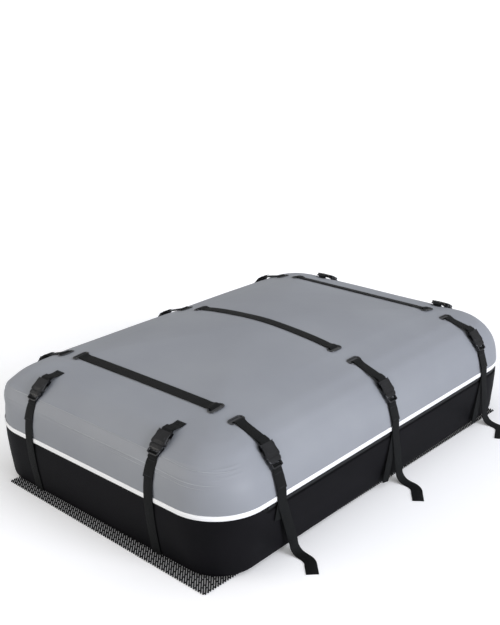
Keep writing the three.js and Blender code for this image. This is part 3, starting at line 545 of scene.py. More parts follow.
def level_stop(x: float, y: float, z: float) -> Stop:
    """A place of a webbing that lies level along Y."""
    return Stop(np.array([x, y, z]), np.array([0.0, 1.0, 0.0]))


def wall_stops(points: Iterable[np.ndarray]) -> list[Stop]:
    """Places of a webbing from points of a section's plane, distance and height."""
    return [level_stop(p[0], 0.0, p[1]) for p in points]


def ribbon(shape: Shape, stops: Sequence[Stop], width: float, thickness: float,
           step: float = 4.0) -> None:
    """Adds a length of webbing with rounded selvedges.

    Args:
        shape: What it is added to.
        stops: Where it runs.
        width: Its width.
        thickness: Its thickness.
        step: Spacing of its cross sections.
    """
    rows = smooth_path(np.array([np.r_[s.at, s.across] for s in stops]), step)
    at, across = rows[:, :3], unit(rows[:, 3:])
    along = unit(np.gradient(at, axis=0))
    normal = unit(np.cross(across, along))
    square = unit(np.cross(along, normal))
    half, edge = width / 2, thickness / 2
    upper = [(0.25, 0.62), (1.6, 1.0)]
    below = [(-half + a * edge, -n) for a, n in upper]
    above = [(half - a * edge, n) for a, n in upper]
    profile = [*below, (0.0, -0.92), *((-u, n) for u, n in reversed(below)), (half, 0.0),
               *above, (0.0, 0.92), *((-u, n) for u, n in reversed(above)), (-half, 0.0)]
    run = np.r_[0.0, np.cumsum(np.linalg.norm(np.diff(at, axis=0), axis=1))]
    grid = np.stack([at + square * u + normal * (n * edge) for u, n in profile], axis=1)
    weave = np.array([[(u, v) for u, _ in profile] for v in run])
    shape.grid(grid, closed=True, weave=weave, caps=True)


def stitches(shape: Shape, start: np.ndarray, end: np.ndarray, out: np.ndarray,
             pitch: float = 3.6) -> None:
    """Adds a row of lock stitches between two points, proud of a surface by half a thread.

    Args:
        shape: What they are added to.
        start: Start of the row.
        end: End of the row.
        out: Direction away from the surface.
        pitch: Spacing of the stitches.
    """
    run = end - start
    length = float(np.linalg.norm(run))
    along, up = run / length, unit(out)
    side = np.cross(along, up)
    radius, reach = 0.42, pitch * 0.36
    for k in range(max(1, int(length / pitch))):
        middle = start + along * (k + 0.5) * pitch
        rings = [np.array([middle + along * a + (side * math.cos(q) + up * math.sin(q)) * radius * f
                           for q in circle(6)])
                 for a, f in ((-reach, 0.35), (-reach * 0.6, 1.0), (reach * 0.6, 1.0), (reach, 0.35))]
        shape.grid(np.array(rings), closed=True, caps=True)


# The sewn shell

@dataclass(frozen=True)
class Ring:
    """One level line of the cover: its reaches, its heights, and the sag of its front corners.

    plan is the bag's width times its length, and left_sag is the left corner's share of the sag.
    """

    half_x: float
    front: float
    rear: float
    side_z: float
    front_z: float
    rear_z: float
    sag: float
    plan: float
    left_sag: float = 0.6

    def height(self, x: float, y: float) -> float:
        """Height of the line over a point of the plan; its front corners sag.

        Args:
            x: Place across the bag.
            y: Place along the bag.

        Returns:
            The height.
        """
        reach, end_z = (self.front, self.front_z) if y < 0 else (self.rear, self.rear_z)
        share = min(1.0, abs(y) / reach) ** 2
        level = self.side_z + (end_z - self.side_z) * share
        corner = abs(4 * x * y / self.plan) ** 3 * (1.0 if x > 0 else self.left_sag) if y < 0 else 0.0
        return level - corner * self.sag

    def beside(self, y: float) -> bool:
        """Whether a place along the bag is inside the line."""
        return abs(y) < (self.front if y < 0 else self.rear)


@dataclass
class BagForm:
    """Form of the two fabric shells, with the sizes that the frame's solids have.

    The insets say how far the shoulder lies inside the seam's plan. The shoulder and crown tables
    give points of the three section curves, as shares of the inset or reach and of the rise.
    front_sag lowers the front corners; left_more and left_tighter change the left one's radius, at
    the seam and at the shoulder.
    """

    length: float = 1300.0
    width: float = 890.0
    front_corner: float = 135.0
    rear_corner: float = 160.0
    corner_tighten: float = 0.9
    least_corner: float = 24.0
    front_sag: float = 22.0
    left_more: float = 26.0
    left_tighter: float = 30.0
    base_corner_share: float = 0.58
    base_inset: float = 14.0
    base_edge: float = 16.0
    seam: float = 157.0
    seam_gap: float = 0.5
    zip_opening: float = 16.0
    straight_wall: float = 15.0
    shoulder: float = 284.0
    crown: float = 352.0
    side_inset: float = 60.0
    front_inset: float = 58.0
    rear_inset: float = 62.0
    floor: float = 4.3
    side_shoulder: tuple = (
        (0, 0), (0, 0.11), (0.083, 0.336), (0.25, 0.565), (0.5, 0.763), (0.75, 0.897), (1, 1))
    front_shoulder: tuple = (
        (0, 0), (0, 0.11), (0.026, 0.36), (0.138, 0.605), (0.345, 0.794), (0.64, 0.945), (1, 1.08))
    rear_shoulder: tuple = (
        (0, 0), (0, 0.11), (0.048, 0.336), (0.19, 0.565), (0.435, 0.747), (0.71, 0.874), (1, 0.968))
    side_crown: tuple = (
        (0.057, 0.162), (0.114, 0.32), (0.187, 0.441), (0.27, 0.566), (0.353, 0.676), (0.55, 0.838),
        (0.8, 0.963))
    front_crown: tuple = (
        (0.034, 0.309), (0.068, 0.382), (0.111, 0.441), (0.172, 0.5), (0.2365, 0.574), (0.42, 0.75),
        (0.68, 0.926))
    rear_crown: tuple = (
        (0.034, 0.059), (0.071, 0.162), (0.116, 0.25), (0.173, 0.353), (0.235, 0.463), (0.42, 0.691),
        (0.68, 0.91))

    def __post_init__(self) -> None:
        """Works out the three section curves."""
        self.bottom = self.seam + self.seam_gap
        wide, long = self.width / 2, self.length / 2
        self.side_curve = self._curve(self.side_shoulder, self.side_crown, self.side_inset, wide)
        self.front_curve = self._curve(self.front_shoulder, self.front_crown, self.front_inset, long)
        self.rear_curve = self._curve(self.rear_shoulder, self.rear_crown, self.rear_inset, long)

    def _curve(self, shoulder: tuple, crown: tuple, inset: float, reach: float) -> np.ndarray:
        """Points of a section curve: inset from the seam's plan, and height.

        Args:
            shoulder: The shoulder's table.
            crown: The crown's table.
            inset: The shoulder's inset.
            reach: Distance from the seam's plan to the middle.

        Returns:
            The points, one row each.
        """
        low = [(i * inset, self.bottom + r * (self.shoulder - self.bottom)) for i, r in shoulder]
        high = [(inset + i * (reach - inset), self.shoulder + r * (self.crown - self.shoulder))
                for i, r in crown]
        return np.array(low + high)

    def ring(self, t: float) -> Ring:
        """Level line at t, 0 at the seam and 1 at the last one before the crown.

        Args:
            t: Which line.

        Returns:
            The line.
        """
        side, front, rear = (spline_at(c, t) for c in (self.side_curve, self.front_curve, self.rear_curve))
        half = self.length / 2
        sag = self.front_sag * (side[1] - self.bottom) / (self.shoulder - self.bottom)
        return Ring(self.width / 2 - side[0], half - front[0], half - rear[0],
                    side[1], front[1], rear[1], sag, self.width * self.length)

    def height(self, x: float, y: float) -> float:
        """Height of the cover over a point of the plan, away from its corners.

        Args:
            x: Place across the bag.
            y: Place along the bag.

        Returns:
            The height.
        """
        def inside(t: float) -> bool:
            """Whether the point is inside the level line at t."""
            ring = self.ring(t)
            return ring.half_x > abs(x) and ring.beside(y)

        t = halved(inside, 0.0, 1.0)
        ring = self.ring(t)
        if t > 0.9999:
            share = min(1.0, math.hypot(x / ring.half_x, y / ring.front)) ** 2
            return self.crown + (ring.height(x, y) - self.crown) * share
        return ring.height(x, y)

    def wall_line(self) -> list[tuple[float, float]]:
        """The tub's wall from below the zip down to its rounded foot, as inset and height.

        Returns:
            Its points, from high to low.
        """
        top, foot = self.seam - self.zip_opening - self.straight_wall, self.floor + self.base_edge
        shares = ((0, 0), (0.3, 0.35), (0.7, 0.65))
        round_in = 0.29 * self.base_edge
        return [*((i * self.base_inset, top + (self.floor - top) * z) for i, z in shares),
                (self.base_inset, foot), (self.base_inset + round_in, self.floor + round_in)]

    def side_section(self, place: float) -> Section:
        """Section across the bag at a place along it, outward distance and height.

        Args:
            place: Place along the bag.

        Returns:
            The section.
        """
        def at(t: float) -> np.ndarray:
            """Point of the section at t.

            Args:
                t: Where on it.

            Returns:
                Its distance and height.
            """
            ring = self.ring(t)
            level = ring.height if ring.beside(place) else self.height
            return np.array([ring.half_x, level(ring.half_x, place)])
        return at

    def end_section(self, front: bool, place: float) -> Section:
        """Section along the bag at an end and beside its middle, outward distance and height.

        Args:
            front: Whether it is the front end.
            place: Place across the bag.

        Returns:
            The section.
        """
        def at(t: float) -> np.ndarray:
            """Point of the section at t.

            Args:
                t: Where on it.

            Returns:
                Its distance and height.
            """
            ring = self.ring(t)
            reach = ring.front if front else ring.rear
            return np.array([reach, ring.height(place, -reach if front else reach)])
        return at


def rounded_plan(half_x: float, front: float, rear: float, front_radius: float, rear_radius: float,
                 steps: tuple[int, int, int], left_more: float = 0.0) -> np.ndarray:
    """Outline of a rounded rectangle, anticlockwise from the front of its right side.

    Args:
        half_x: Half its width.
        front: Its reach towards -Y.
        rear: Its reach towards +Y.
        front_radius: Radius of its front corners.
        rear_radius: Radius of its rear corners.
        steps: Points along a long side, a corner and an end.
        left_more: What the left front corner's radius is over the right one's.

    Returns:
        Its points, one row each.
    """
    long, corner, short = steps
    left = front_radius + left_more
    angles = np.linspace(0, math.pi / 2, corner, endpoint=False)
    front_x, rear_x = half_x - front_radius, half_x - rear_radius
    front_y, rear_y = -front + front_radius, rear - rear_radius

    def straight(a: tuple, b: tuple, count: int) -> np.ndarray:
        """Points from a up to, and without, b."""
        share = np.linspace(0, 1, count, endpoint=False)[:, None]
        return np.array(a) + (np.array(b) - np.array(a)) * share

    def arc(x: float, y: float, radius: float, start: float) -> np.ndarray:
        """Points of a quarter turn about x, y."""
        return np.c_[x + radius * np.cos(start + angles), y + radius * np.sin(start + angles)]

    return np.vstack([
        straight((half_x, front_y), (half_x, rear_y), long), arc(rear_x, rear_y, rear_radius, 0),
        straight((rear_x, rear), (-rear_x, rear), short), arc(-rear_x, rear_y, rear_radius, math.pi / 2),
        straight((-half_x, rear_y), (-half_x, left - front), long),
        arc(left - half_x, left - front, left, math.pi),
        straight((left - half_x, -front), (front_x, -front), short),
        arc(front_x, front_y, front_radius, 1.5 * math.pi),
    ])


def t_at_height(section: Section, height: float) -> float:
    """The t at which the shoulder of a section, which is its first 0.7, comes up to a height."""
    return halved(lambda t: section(t)[1] < height, 0.0, 0.7)


def t_at_reach(section: Section, distance: float) -> float:
    """The t at which a section has come in to a distance from the middle of the bag."""
    return halved(lambda t: section(t)[0] >= distance, 0.0, 1.0)


def lifted(section: Section, t: float, lift: float) -> np.ndarray:
    """A point off the section, along its outward normal.

    Args:
        section: The section.
        t: Where on it.
        lift: How far off it.

    Returns:
        Its distance and height.
    """
    step = 0.004
    along = unit(section(min(1.0, t + step)) - section(max(0.0, t - step)))
    return section(t) + np.array([along[1], -along[0]]) * lift


@dataclass(frozen=True)
class Seat:
    """Where a buckle lies on its section: underside of its middle, along the strap and outwards."""

    t: float
    origin: np.ndarray
    along: np.ndarray
    out: np.ndarray

    def point(self, s: float, n: float) -> np.ndarray:
        """A point of the section's plane, from its run along the strap and its height over the seat."""
        return self.origin + self.along * s + self.out * n


@dataclass(frozen=True)
class Hardware:
    """Standard sizes of the webbing and of the moulded pieces on it.

    The spacings, the eyelets' places and end_start are distances from the middle of the bag. The
    levels are heights of the buckles. socket_back and mouth are places along the strap, from the
    middle of the buckle outwards and down.
    """

    web_width: float = 30.0
    tail_width: float = 28.0
    web_thickness: float = 1.4
    web_lift: float = 0.8
    web_spacing: float = 452.0
    end_spacing: float = 224.0
    inner_eyelet: float = 249.0
    outer_eyelet: float = 313.0
    slot_width: float = 14.0
    slot_length: float = 35.0
    eyelet_rim: float = 4.5
    eyelet_height: float = 2.8
    eyelet_lift: float = 0.5
    end_start: float = 538.0
    sewn_length: float = 15.0
    fit_gap: float = 0.3
    sheet: float = 2.5
    buckle_width: float = 41.0
    buckle_height: float = 10.2
    buckle_lift: float = 3.6
    side_level: float = 256.0
    end_level: float = 283.0
    socket_back: float = -33.0
    mouth: float = 7.0
    plug_gap: float = 0.5
    plug_length: float = 26.0
    plug_collar: float = 11.0
    plug_wall: float = 3.0
    plug_slot: float = 4.5
    bar_width: float = 3.4
    web_slot: float = 6.0
    bar_bottom: float = 2.0
    bar_top: float = 6.0
    prong_length: float = 25.0
    fold_start: float = 6.0
    fold_length: float = 38.44
    fold_margin: float = 2.4
    hem_face: float = 3.6
    hem_top: float = 169.5
    hem_clear: float = 6.0
    past_plug: float = 9.0
    drop_bend: float = 30.0
    tail_drift: float = 30.0
    ground_gap: float = 0.3
    bend_length: float = 78.0
    slack: float = 0.6

    @property
    def half_web(self) -> float:
        """Half the thickness of the webbing."""
        return self.web_thickness / 2

    @property
    def on_cover(self) -> float:
        """Height of a webbing's middle where it lies on the cloth."""
        return self.web_lift + self.half_web

    @property
    def plug_start(self) -> float:
        """Where the plug's ladder starts, along the strap from the middle of the buckle."""
        return self.mouth + self.plug_gap

    @property
    def plug_end(self) -> float:
        """Where the plug ends."""
        return self.plug_start + self.plug_length

    @property
    def plug_slots(self) -> tuple[float, float]:
        """Where the plug's two slots start."""
        return (self.plug_start + self.plug_collar + self.plug_wall,
                self.plug_end - self.bar_width - self.web_slot + 1)

    def seat(self, section: Section, level: float) -> Seat:
        """Seat of a buckle at a height of its section.

        Args:
            section: The section.
            level: The height.

        Returns:
            The seat.
        """
        t = t_at_height(section, level)
        along = unit(section(t - 0.01) - section(t + 0.01))
        out = np.array([-along[1], along[0]])
        return Seat(t, section(t) + out * self.buckle_lift, along, out)


@dataclass(frozen=True)
class Station:
    """One buckle's place: its own frame points +X outwards and +Y across the webbing.

    slant is how far a side strap leans on its way down, reach how far it lies out on the ground, swing
    the angle that it turns there, and tail_end the height at which its free end stops.
    """

    name: str
    turn: float
    place: float
    side: bool
    slant: float = 0.0
    reach: float = 0.0
    swing: float = 0.0
    tail_end: float = 14.0

    def matrix(self) -> Matrix:
        """Its frame in the bag's, in millimetres."""
        shift = (0.0, self.place, 0.0) if self.side else (self.place, 0.0, 0.0)
        return Matrix.Translation(shift) @ Matrix.Rotation(math.radians(self.turn), 4, "Z")


HW = Hardware()
SIDE_STATIONS = (
    Station("right_front", 0, -HW.web_spacing, True, 38, 105, -45, 108),
    Station("right_middle", 0, 0, True, 22, 122, -52),
    Station("right_rear", 0, HW.web_spacing, True, 20, 125, -64),
    Station("left_front", 180, -HW.web_spacing, True, -18, 100, 40),
    Station("left_middle", 180, 0, True, -12, 112, 35),
    Station("left_rear", 180, HW.web_spacing, True, -20, 104, 45),
)
END_STATIONS = (
    Station("front_left", -90, -HW.end_spacing, False),
    Station("front_right", -90, HW.end_spacing, False),
    Station("rear_left", 90, -HW.end_spacing, False),
    Station("rear_right", 90, HW.end_spacing, False),
)
ROWS = (("front", -HW.web_spacing), ("middle", 0.0), ("rear", HW.web_spacing))
EYELET_SIDES = (("left_outer", -HW.outer_eyelet), ("left_inner", -HW.inner_eyelet),
                ("right_inner", HW.inner_eyelet), ("right_outer", HW.outer_eyelet))


def stadium(length: float, width: float, steps: int = 12) -> np.ndarray:
    """Outline of a slot with round ends, its length along Y.

    Args:
        length: Its length over all.
        width: Its width.
        steps: Points of a round end.

    Returns:
        Its points, one row each.
    """
    straight, radius = (length - width) / 2, width / 2
    angles = np.linspace(0, math.pi, steps)
    top = np.c_[radius * np.cos(angles), straight + radius * np.sin(angles)]
    return np.vstack([top, -top])


@dataclass(frozen=True)
class Creases:
    """Folds, welds and puckers of the cover's front, as the photograph shows them.

    The fold and the weld run round the front panel. The puckers lie in its two corners, the pulls
    below the sewn ends, and the dip in the left shoulder.
    """

    panel_face: float = 575.0
    panel_rise: float = 35.0
    panel_end: float = 430.0
    panel_fade: float = 60.0
    fold_level: float = 267.0
    fold_height: float = 5.0
    fold_reach: float = 11.0
    fold_below: float = 2.5
    weld_level: float = 243.0
    weld_step: float = 8.0
    welds: tuple = ((0.5, 0.0, 1.6), (0.3, 1.0, 1.4))
    pucker_at: tuple[float, float] = (392.0, -592.0)
    pucker_reach: float = 62.0
    pucker_slope: float = 0.05
    pucker_width: float = 1.8
    puckers: tuple = ((1.8, 262), (1.5, 255), (1.1, 248))
    pull_height: float = 1.1
    pull_leans: tuple = (-0.5, 0.15, 0.7)
    pull_spread: float = 14.0
    pull_width: float = 2.4
    pull_start: float = 6.0
    pull_length: float = 26.0
    dip_depth: float = 9.0
    dip_at: tuple[float, float] = (-390.0, -545.0)
    dip_size: tuple[float, float] = (55.0, 75.0)

    def panel(self, x: np.ndarray, y: np.ndarray, z: np.ndarray) -> np.ndarray:
        """Height of the fold at the top of the front panel and of its welded lap.

        Args:
            x: Place across the bag.
            y: Place along the bag.
            z: Height.

        Returns:
            Its height at each point.
        """
        front = np.clip((-y - self.panel_face) / self.panel_rise, 0, 1)
        front = front * np.clip((self.panel_end - np.abs(x)) / self.panel_fade, 0, 1)
        away, reach = z - self.fold_level, self.fold_reach
        fold = self.fold_height * np.exp(-np.maximum(away / reach, -away / (self.fold_below * reach)))
        weld = sum(size * bell(z - self.weld_level + step * self.weld_step, width)
                   for size, step, width in self.welds)
        return front * (fold + weld)

    def corners(self, x: np.ndarray, y: np.ndarray, z: np.ndarray) -> np.ndarray:
        """Height of the puckers in the front corners.

        Args:
            x: Place across the bag.
            y: Place along the bag.
            z: Height.

        Returns:
            Its height at each point.
        """
        away = np.hypot(np.abs(x) - self.pucker_at[0], y - self.pucker_at[1])
        slope = self.pucker_slope * (y + 600)
        ridges = sum(size * bell(z - level - slope, self.pucker_width) for size, level in self.puckers)
        return np.clip(1 - away / self.pucker_reach, 0, 1) * ridges

    def pulls(self, x: np.ndarray, y: np.ndarray) -> np.ndarray:
        """Height of the creases that the straps pull in the cloth below their sewn ends.

        Args:
            x: Place across the bag.
            y: Place along the bag.

        Returns:
            Its height at each point.
        """
        total = np.zeros(len(x))
        along = np.abs(y) - HW.end_start + 2
        run = np.clip(-along / self.pull_start, 0, 1) * np.exp(along / self.pull_length)
        for place in (-HW.end_spacing, HW.end_spacing):
            for lean in self.pull_leans:
                off = (x - place) + along * lean - lean * self.pull_spread
                total = total + self.pull_height * bell(off, self.pull_width) * run
        return total

    def height(self, x: np.ndarray, y: np.ndarray, z: np.ndarray) -> np.ndarray:
        """Height of all of them together, less the dip."""
        dip = bell(x - self.dip_at[0], self.dip_size[0]) * bell(y - self.dip_at[1], self.dip_size[1])
        return self.panel(x, y, z) + self.corners(x, y, z) + self.pulls(x, y) - self.dip_depth * dip


@dataclass
class Shells:
    """The grey cover, the black tub and the white hem tape over their seam."""

    form: BagForm
    creases: Creases = Creases()
    cover_steps: tuple[int, int, int] = (110, 30, 90)
    tub_steps: tuple[int, int, int] = (60, 20, 36)
    crown_levels: int = 10
    corner_rise: float = 60.0
    corner_fade: float = 90.0
    tightest_corner: float = 20.0
    bulge: float = 1.8
    wave: float = 0.55
    swell_rise: float = 60.0
    web_calm: float = 34.0
    end_calm: float = 470.0
    end_rise: float = 60.0
    rim_depth: float = 12.0
    bead_front: float = -480.0
    bead_lift: float = 0.25
    bead_taper: int = 8
    hem_width: float = 12.0
    hem_thickness: float = 2.0

    def cover_row(self, t: float) -> np.ndarray:
        """Points of the cover's level line at t, before the cloth swells.

        Args:
            t: Which line.

        Returns:
            The points, one row each.
        """
        form = self.form
        ring = form.ring(t)
        inset = form.width / 2 - ring.half_x
        radii = [min(max(form.least_corner, r - form.corner_tighten * inset), ring.half_x - 2)
                 for r in (form.front_corner, form.rear_corner)]
        rise = min(1.0, max(0.0, (ring.front_z - form.bottom - self.corner_rise) / self.corner_rise))
        tighter = form.left_tighter * rise * math.exp(-inset / self.corner_fade)
        more = max(form.left_more * (1 - rise) - tighter, self.tightest_corner - radii[0])
        plan = rounded_plan(ring.half_x, ring.front, ring.rear, *radii, self.cover_steps, more)
        return np.c_[plan, [ring.height(x, y) for x, y in plan]]

    def cover_rows(self) -> np.ndarray:
        """Rows of the smooth cover, from the seam to the crown, closest round the front's fold.

        Returns:
            The rows, from low to high.
        """
        form = self.form
        parts = [(0, 0.2, 16), (0.2, 0.42, 52), (0.42, 1, 52)]
        levels = np.concatenate([np.linspace(*part)[min(i, 1):] for i, part in enumerate(parts)])
        rows = [self.cover_row(float(t)) for t in levels]
        edge = rows[-1]
        for share in np.linspace(1, 0, self.crown_levels + 1)[1:-1]:
            drop = (form.crown - edge[:, 2]) * share ** 2
            rows.append(np.c_[edge[:, :2] * share, form.crown - drop])
        return np.array(rows)

    def swelling(self, points: np.ndarray) -> np.ndarray:
        """How far the cloth stands out at each point: little under webs, buckles and at the seam.

        Args:
            points: The points, one row each.

        Returns:
            The distances.
        """
        x, y, z = points.T
        free = np.clip((z - self.form.bottom) / self.swell_rise, 0, 1)
        for _, row in ROWS:
            free = free * (1 - bell(y - row, self.web_calm) * (z > self.form.seam))
        near_end = np.clip((np.abs(y) - self.end_calm) / self.end_rise, 0, 1)
        for place in (-HW.end_spacing, HW.end_spacing):
            free = free * (1 - bell(x - place, self.web_calm) * near_end)
        # Three slow waves, of lengths that don't repeat together, for the uneven luggage inside.
        waves = (np.sin(x / 83 + 0.6) * np.sin(y / 117 + 1.3) + 0.6 * np.sin(x / 47 - y / 61 + 0.4)
                 + 0.5 * np.sin(z / 29 + y / 90))
        return free * (self.bulge + self.wave * waves) + self.creases.height(x, y, z)

    def swollen(self, rows: np.ndarray, lift: float = 0.0) -> tuple[np.ndarray, np.ndarray]:
        """Moves rows of the cover out as the cloth swells.

        Args:
            rows: Rows of points, from low to high.
            lift: What they stand off the cloth.

        Returns:
            The moved rows and their outward directions.
        """
        along = np.roll(rows, -1, axis=1) - np.roll(rows, 1, axis=1)
        normal = unit(np.cross(along, np.gradient(rows, axis=0)))
        out = self.swelling(rows.reshape(-1, 3)).reshape(rows.shape[:2])
        return rows + normal * (out + lift)[..., None], normal

    def wall_rows(self, profile: Iterable[tuple[float, float]], steps: tuple[int, int, int],
                  radii: Callable[[float], tuple[float, float]]) -> np.ndarray:
        """Level lines of a wall under or over the seam.

        Args:
            profile: How far each line stands out from the seam's plan, and its height.
            steps: Points along a long side, a corner and an end.
            radii: Gives the front and rear corners' radii by that distance.

        Returns:
            The rows.
        """
        form, rows = self.form, []
        for out, z in profile:
            reach = form.length / 2 + out
            plan = rounded_plan(form.width / 2 + out, reach, reach, *radii(out), steps, form.left_more)
            rows.append(np.c_[plan, np.full(len(plan), z)])
        return np.array(rows)

    def make_cover(self) -> bpy.types.Object:
        """Builds the cover with its folded rim.

        Returns:
            The cover.
        """
        rows, normal = self.swollen(self.cover_rows())
        inner = rows[0] - normal[0] * HW.sheet
        grid = np.concatenate([[inner + [0, 0, self.rim_depth], inner], rows])
        shape = Shape().grid(grid, closed=True)
        count = grid.shape[1]
        top = len(grid) * count
        last = top - count
        shape.add(np.array([[0.0, 0.0, self.form.crown]]), [])
        shape.faces += [(last + i, last + (i + 1) % count, top) for i in range(count)]
        return shape.thing("cover_shell", COVER_CLOTH, 70)

    def make_weld(self) -> bpy.types.Object:
        """Builds the beads along the front panel's welded lap and its fold, which run into the right front
        corner; their pale colour is a painted highlight.

        Returns:
            The beads, as one piece.
        """
        section = self.form.end_section(True, 0)
        weld, fold = self.creases.weld_level, self.creases.fold_level
        shape = Shape()
        for level, start, end, radius in ((weld, -130, 400, 0.75),
                                          (weld - self.creases.weld_step, 60, 380, 0.55),
                                          (fold, -330, 405, 0.5)):
            t = t_at_height(section, level)
            rows = np.array([self.cover_row(t + step) for step in (-0.003, 0.0, 0.003)])
            moved, normal = self.swollen(rows, self.bead_lift)
            x, y = rows[1, :, 0], rows[1, :, 1]
            order = np.flatnonzero((y < self.bead_front) & (x > start) & (x < end))
            order = order[np.argsort(x[order])]
            line, out = moved[1, order], normal[1, order]
            side = unit(np.cross(np.gradient(line, axis=0), out))
            place = np.arange(len(line))
            taper = np.clip(np.minimum(place, place[::-1]) / self.bead_taper, 0.1, 1)[:, None] * radius
            ring = [line + (side * math.cos(a) + out * math.sin(a)) * taper for a in circle(6)]
            shape.grid(np.stack(ring, axis=1), closed=True, caps=True)
        return shape.thing("cover_weld", WELD_BEAD_PAINTED_HIGHLIGHT, 60)

    def make_tub(self) -> bpy.types.Object:
        """Builds the tub, whose top edge drops by the zip's opening along the sides and the rear.

        Returns:
            The tub.
        """
        form = self.form
        foot = form.base_inset + form.base_edge
        section = np.array([(0, form.seam), *form.wall_line(), (foot, form.floor)])

        def radii(out: float) -> tuple[float, float]:
            """Radii of the corners, which tighten towards the foot."""
            tighter = 1 + (form.base_corner_share - 1) * -out / foot
            return form.front_corner * tighter, form.rear_corner * tighter

        profile = [spline_at(section, float(t)) * [-1, 1] for t in np.linspace(0, 1, 40)]
        grid = self.wall_rows(profile, self.tub_steps, radii)
        zip_start = -form.length / 2 + form.front_corner
        drop = np.clip((grid[0, :, 1] - zip_start) / 6, 0, 1) * form.zip_opening
        grid[:, :, 2] = np.minimum(grid[:, :, 2], (form.seam - drop)[None, :])
        fill = [np.c_[grid[-1, :, :2] * share, grid[-1, :, 2]] for share in (0.9, 0.6, 0.3)]
        return Shape().grid(np.concatenate([grid, fill]), closed=True).thing("tub_shell", TUB_CLOTH, 60)

    def make_hem(self) -> bpy.types.Object:
        """Builds the domed white tape round the seam.

        Returns:
            The tape.
        """
        form, width, thick = self.form, self.hem_width, self.hem_thickness
        dome = ((0, 0), (0.62, 0.2), (0.95, 1.6), (1, width / 2), (0.95, width - 1.6),
                (0.62, width - 0.2), (0, width))
        profile = [(HW.fit_gap + share * thick, form.bottom + rise) for share, rise in dome]
        rows = self.wall_rows(profile, self.cover_steps,
                              lambda out: (form.front_corner + out, form.rear_corner + out))
        return Shape().grid(rows, closed=True).thing("hem_tape", HEM_TAPE, 50)

    def build(self) -> None:
        """Makes the four pieces, which ride on the bag."""
        dress(self.make_cover(), "root", "top_cover")
        dress(self.make_weld(), "root")
        dress(self.make_tub(), "root", "base_tub")
        dress(self.make_hem(), "root", "reflective_hem")


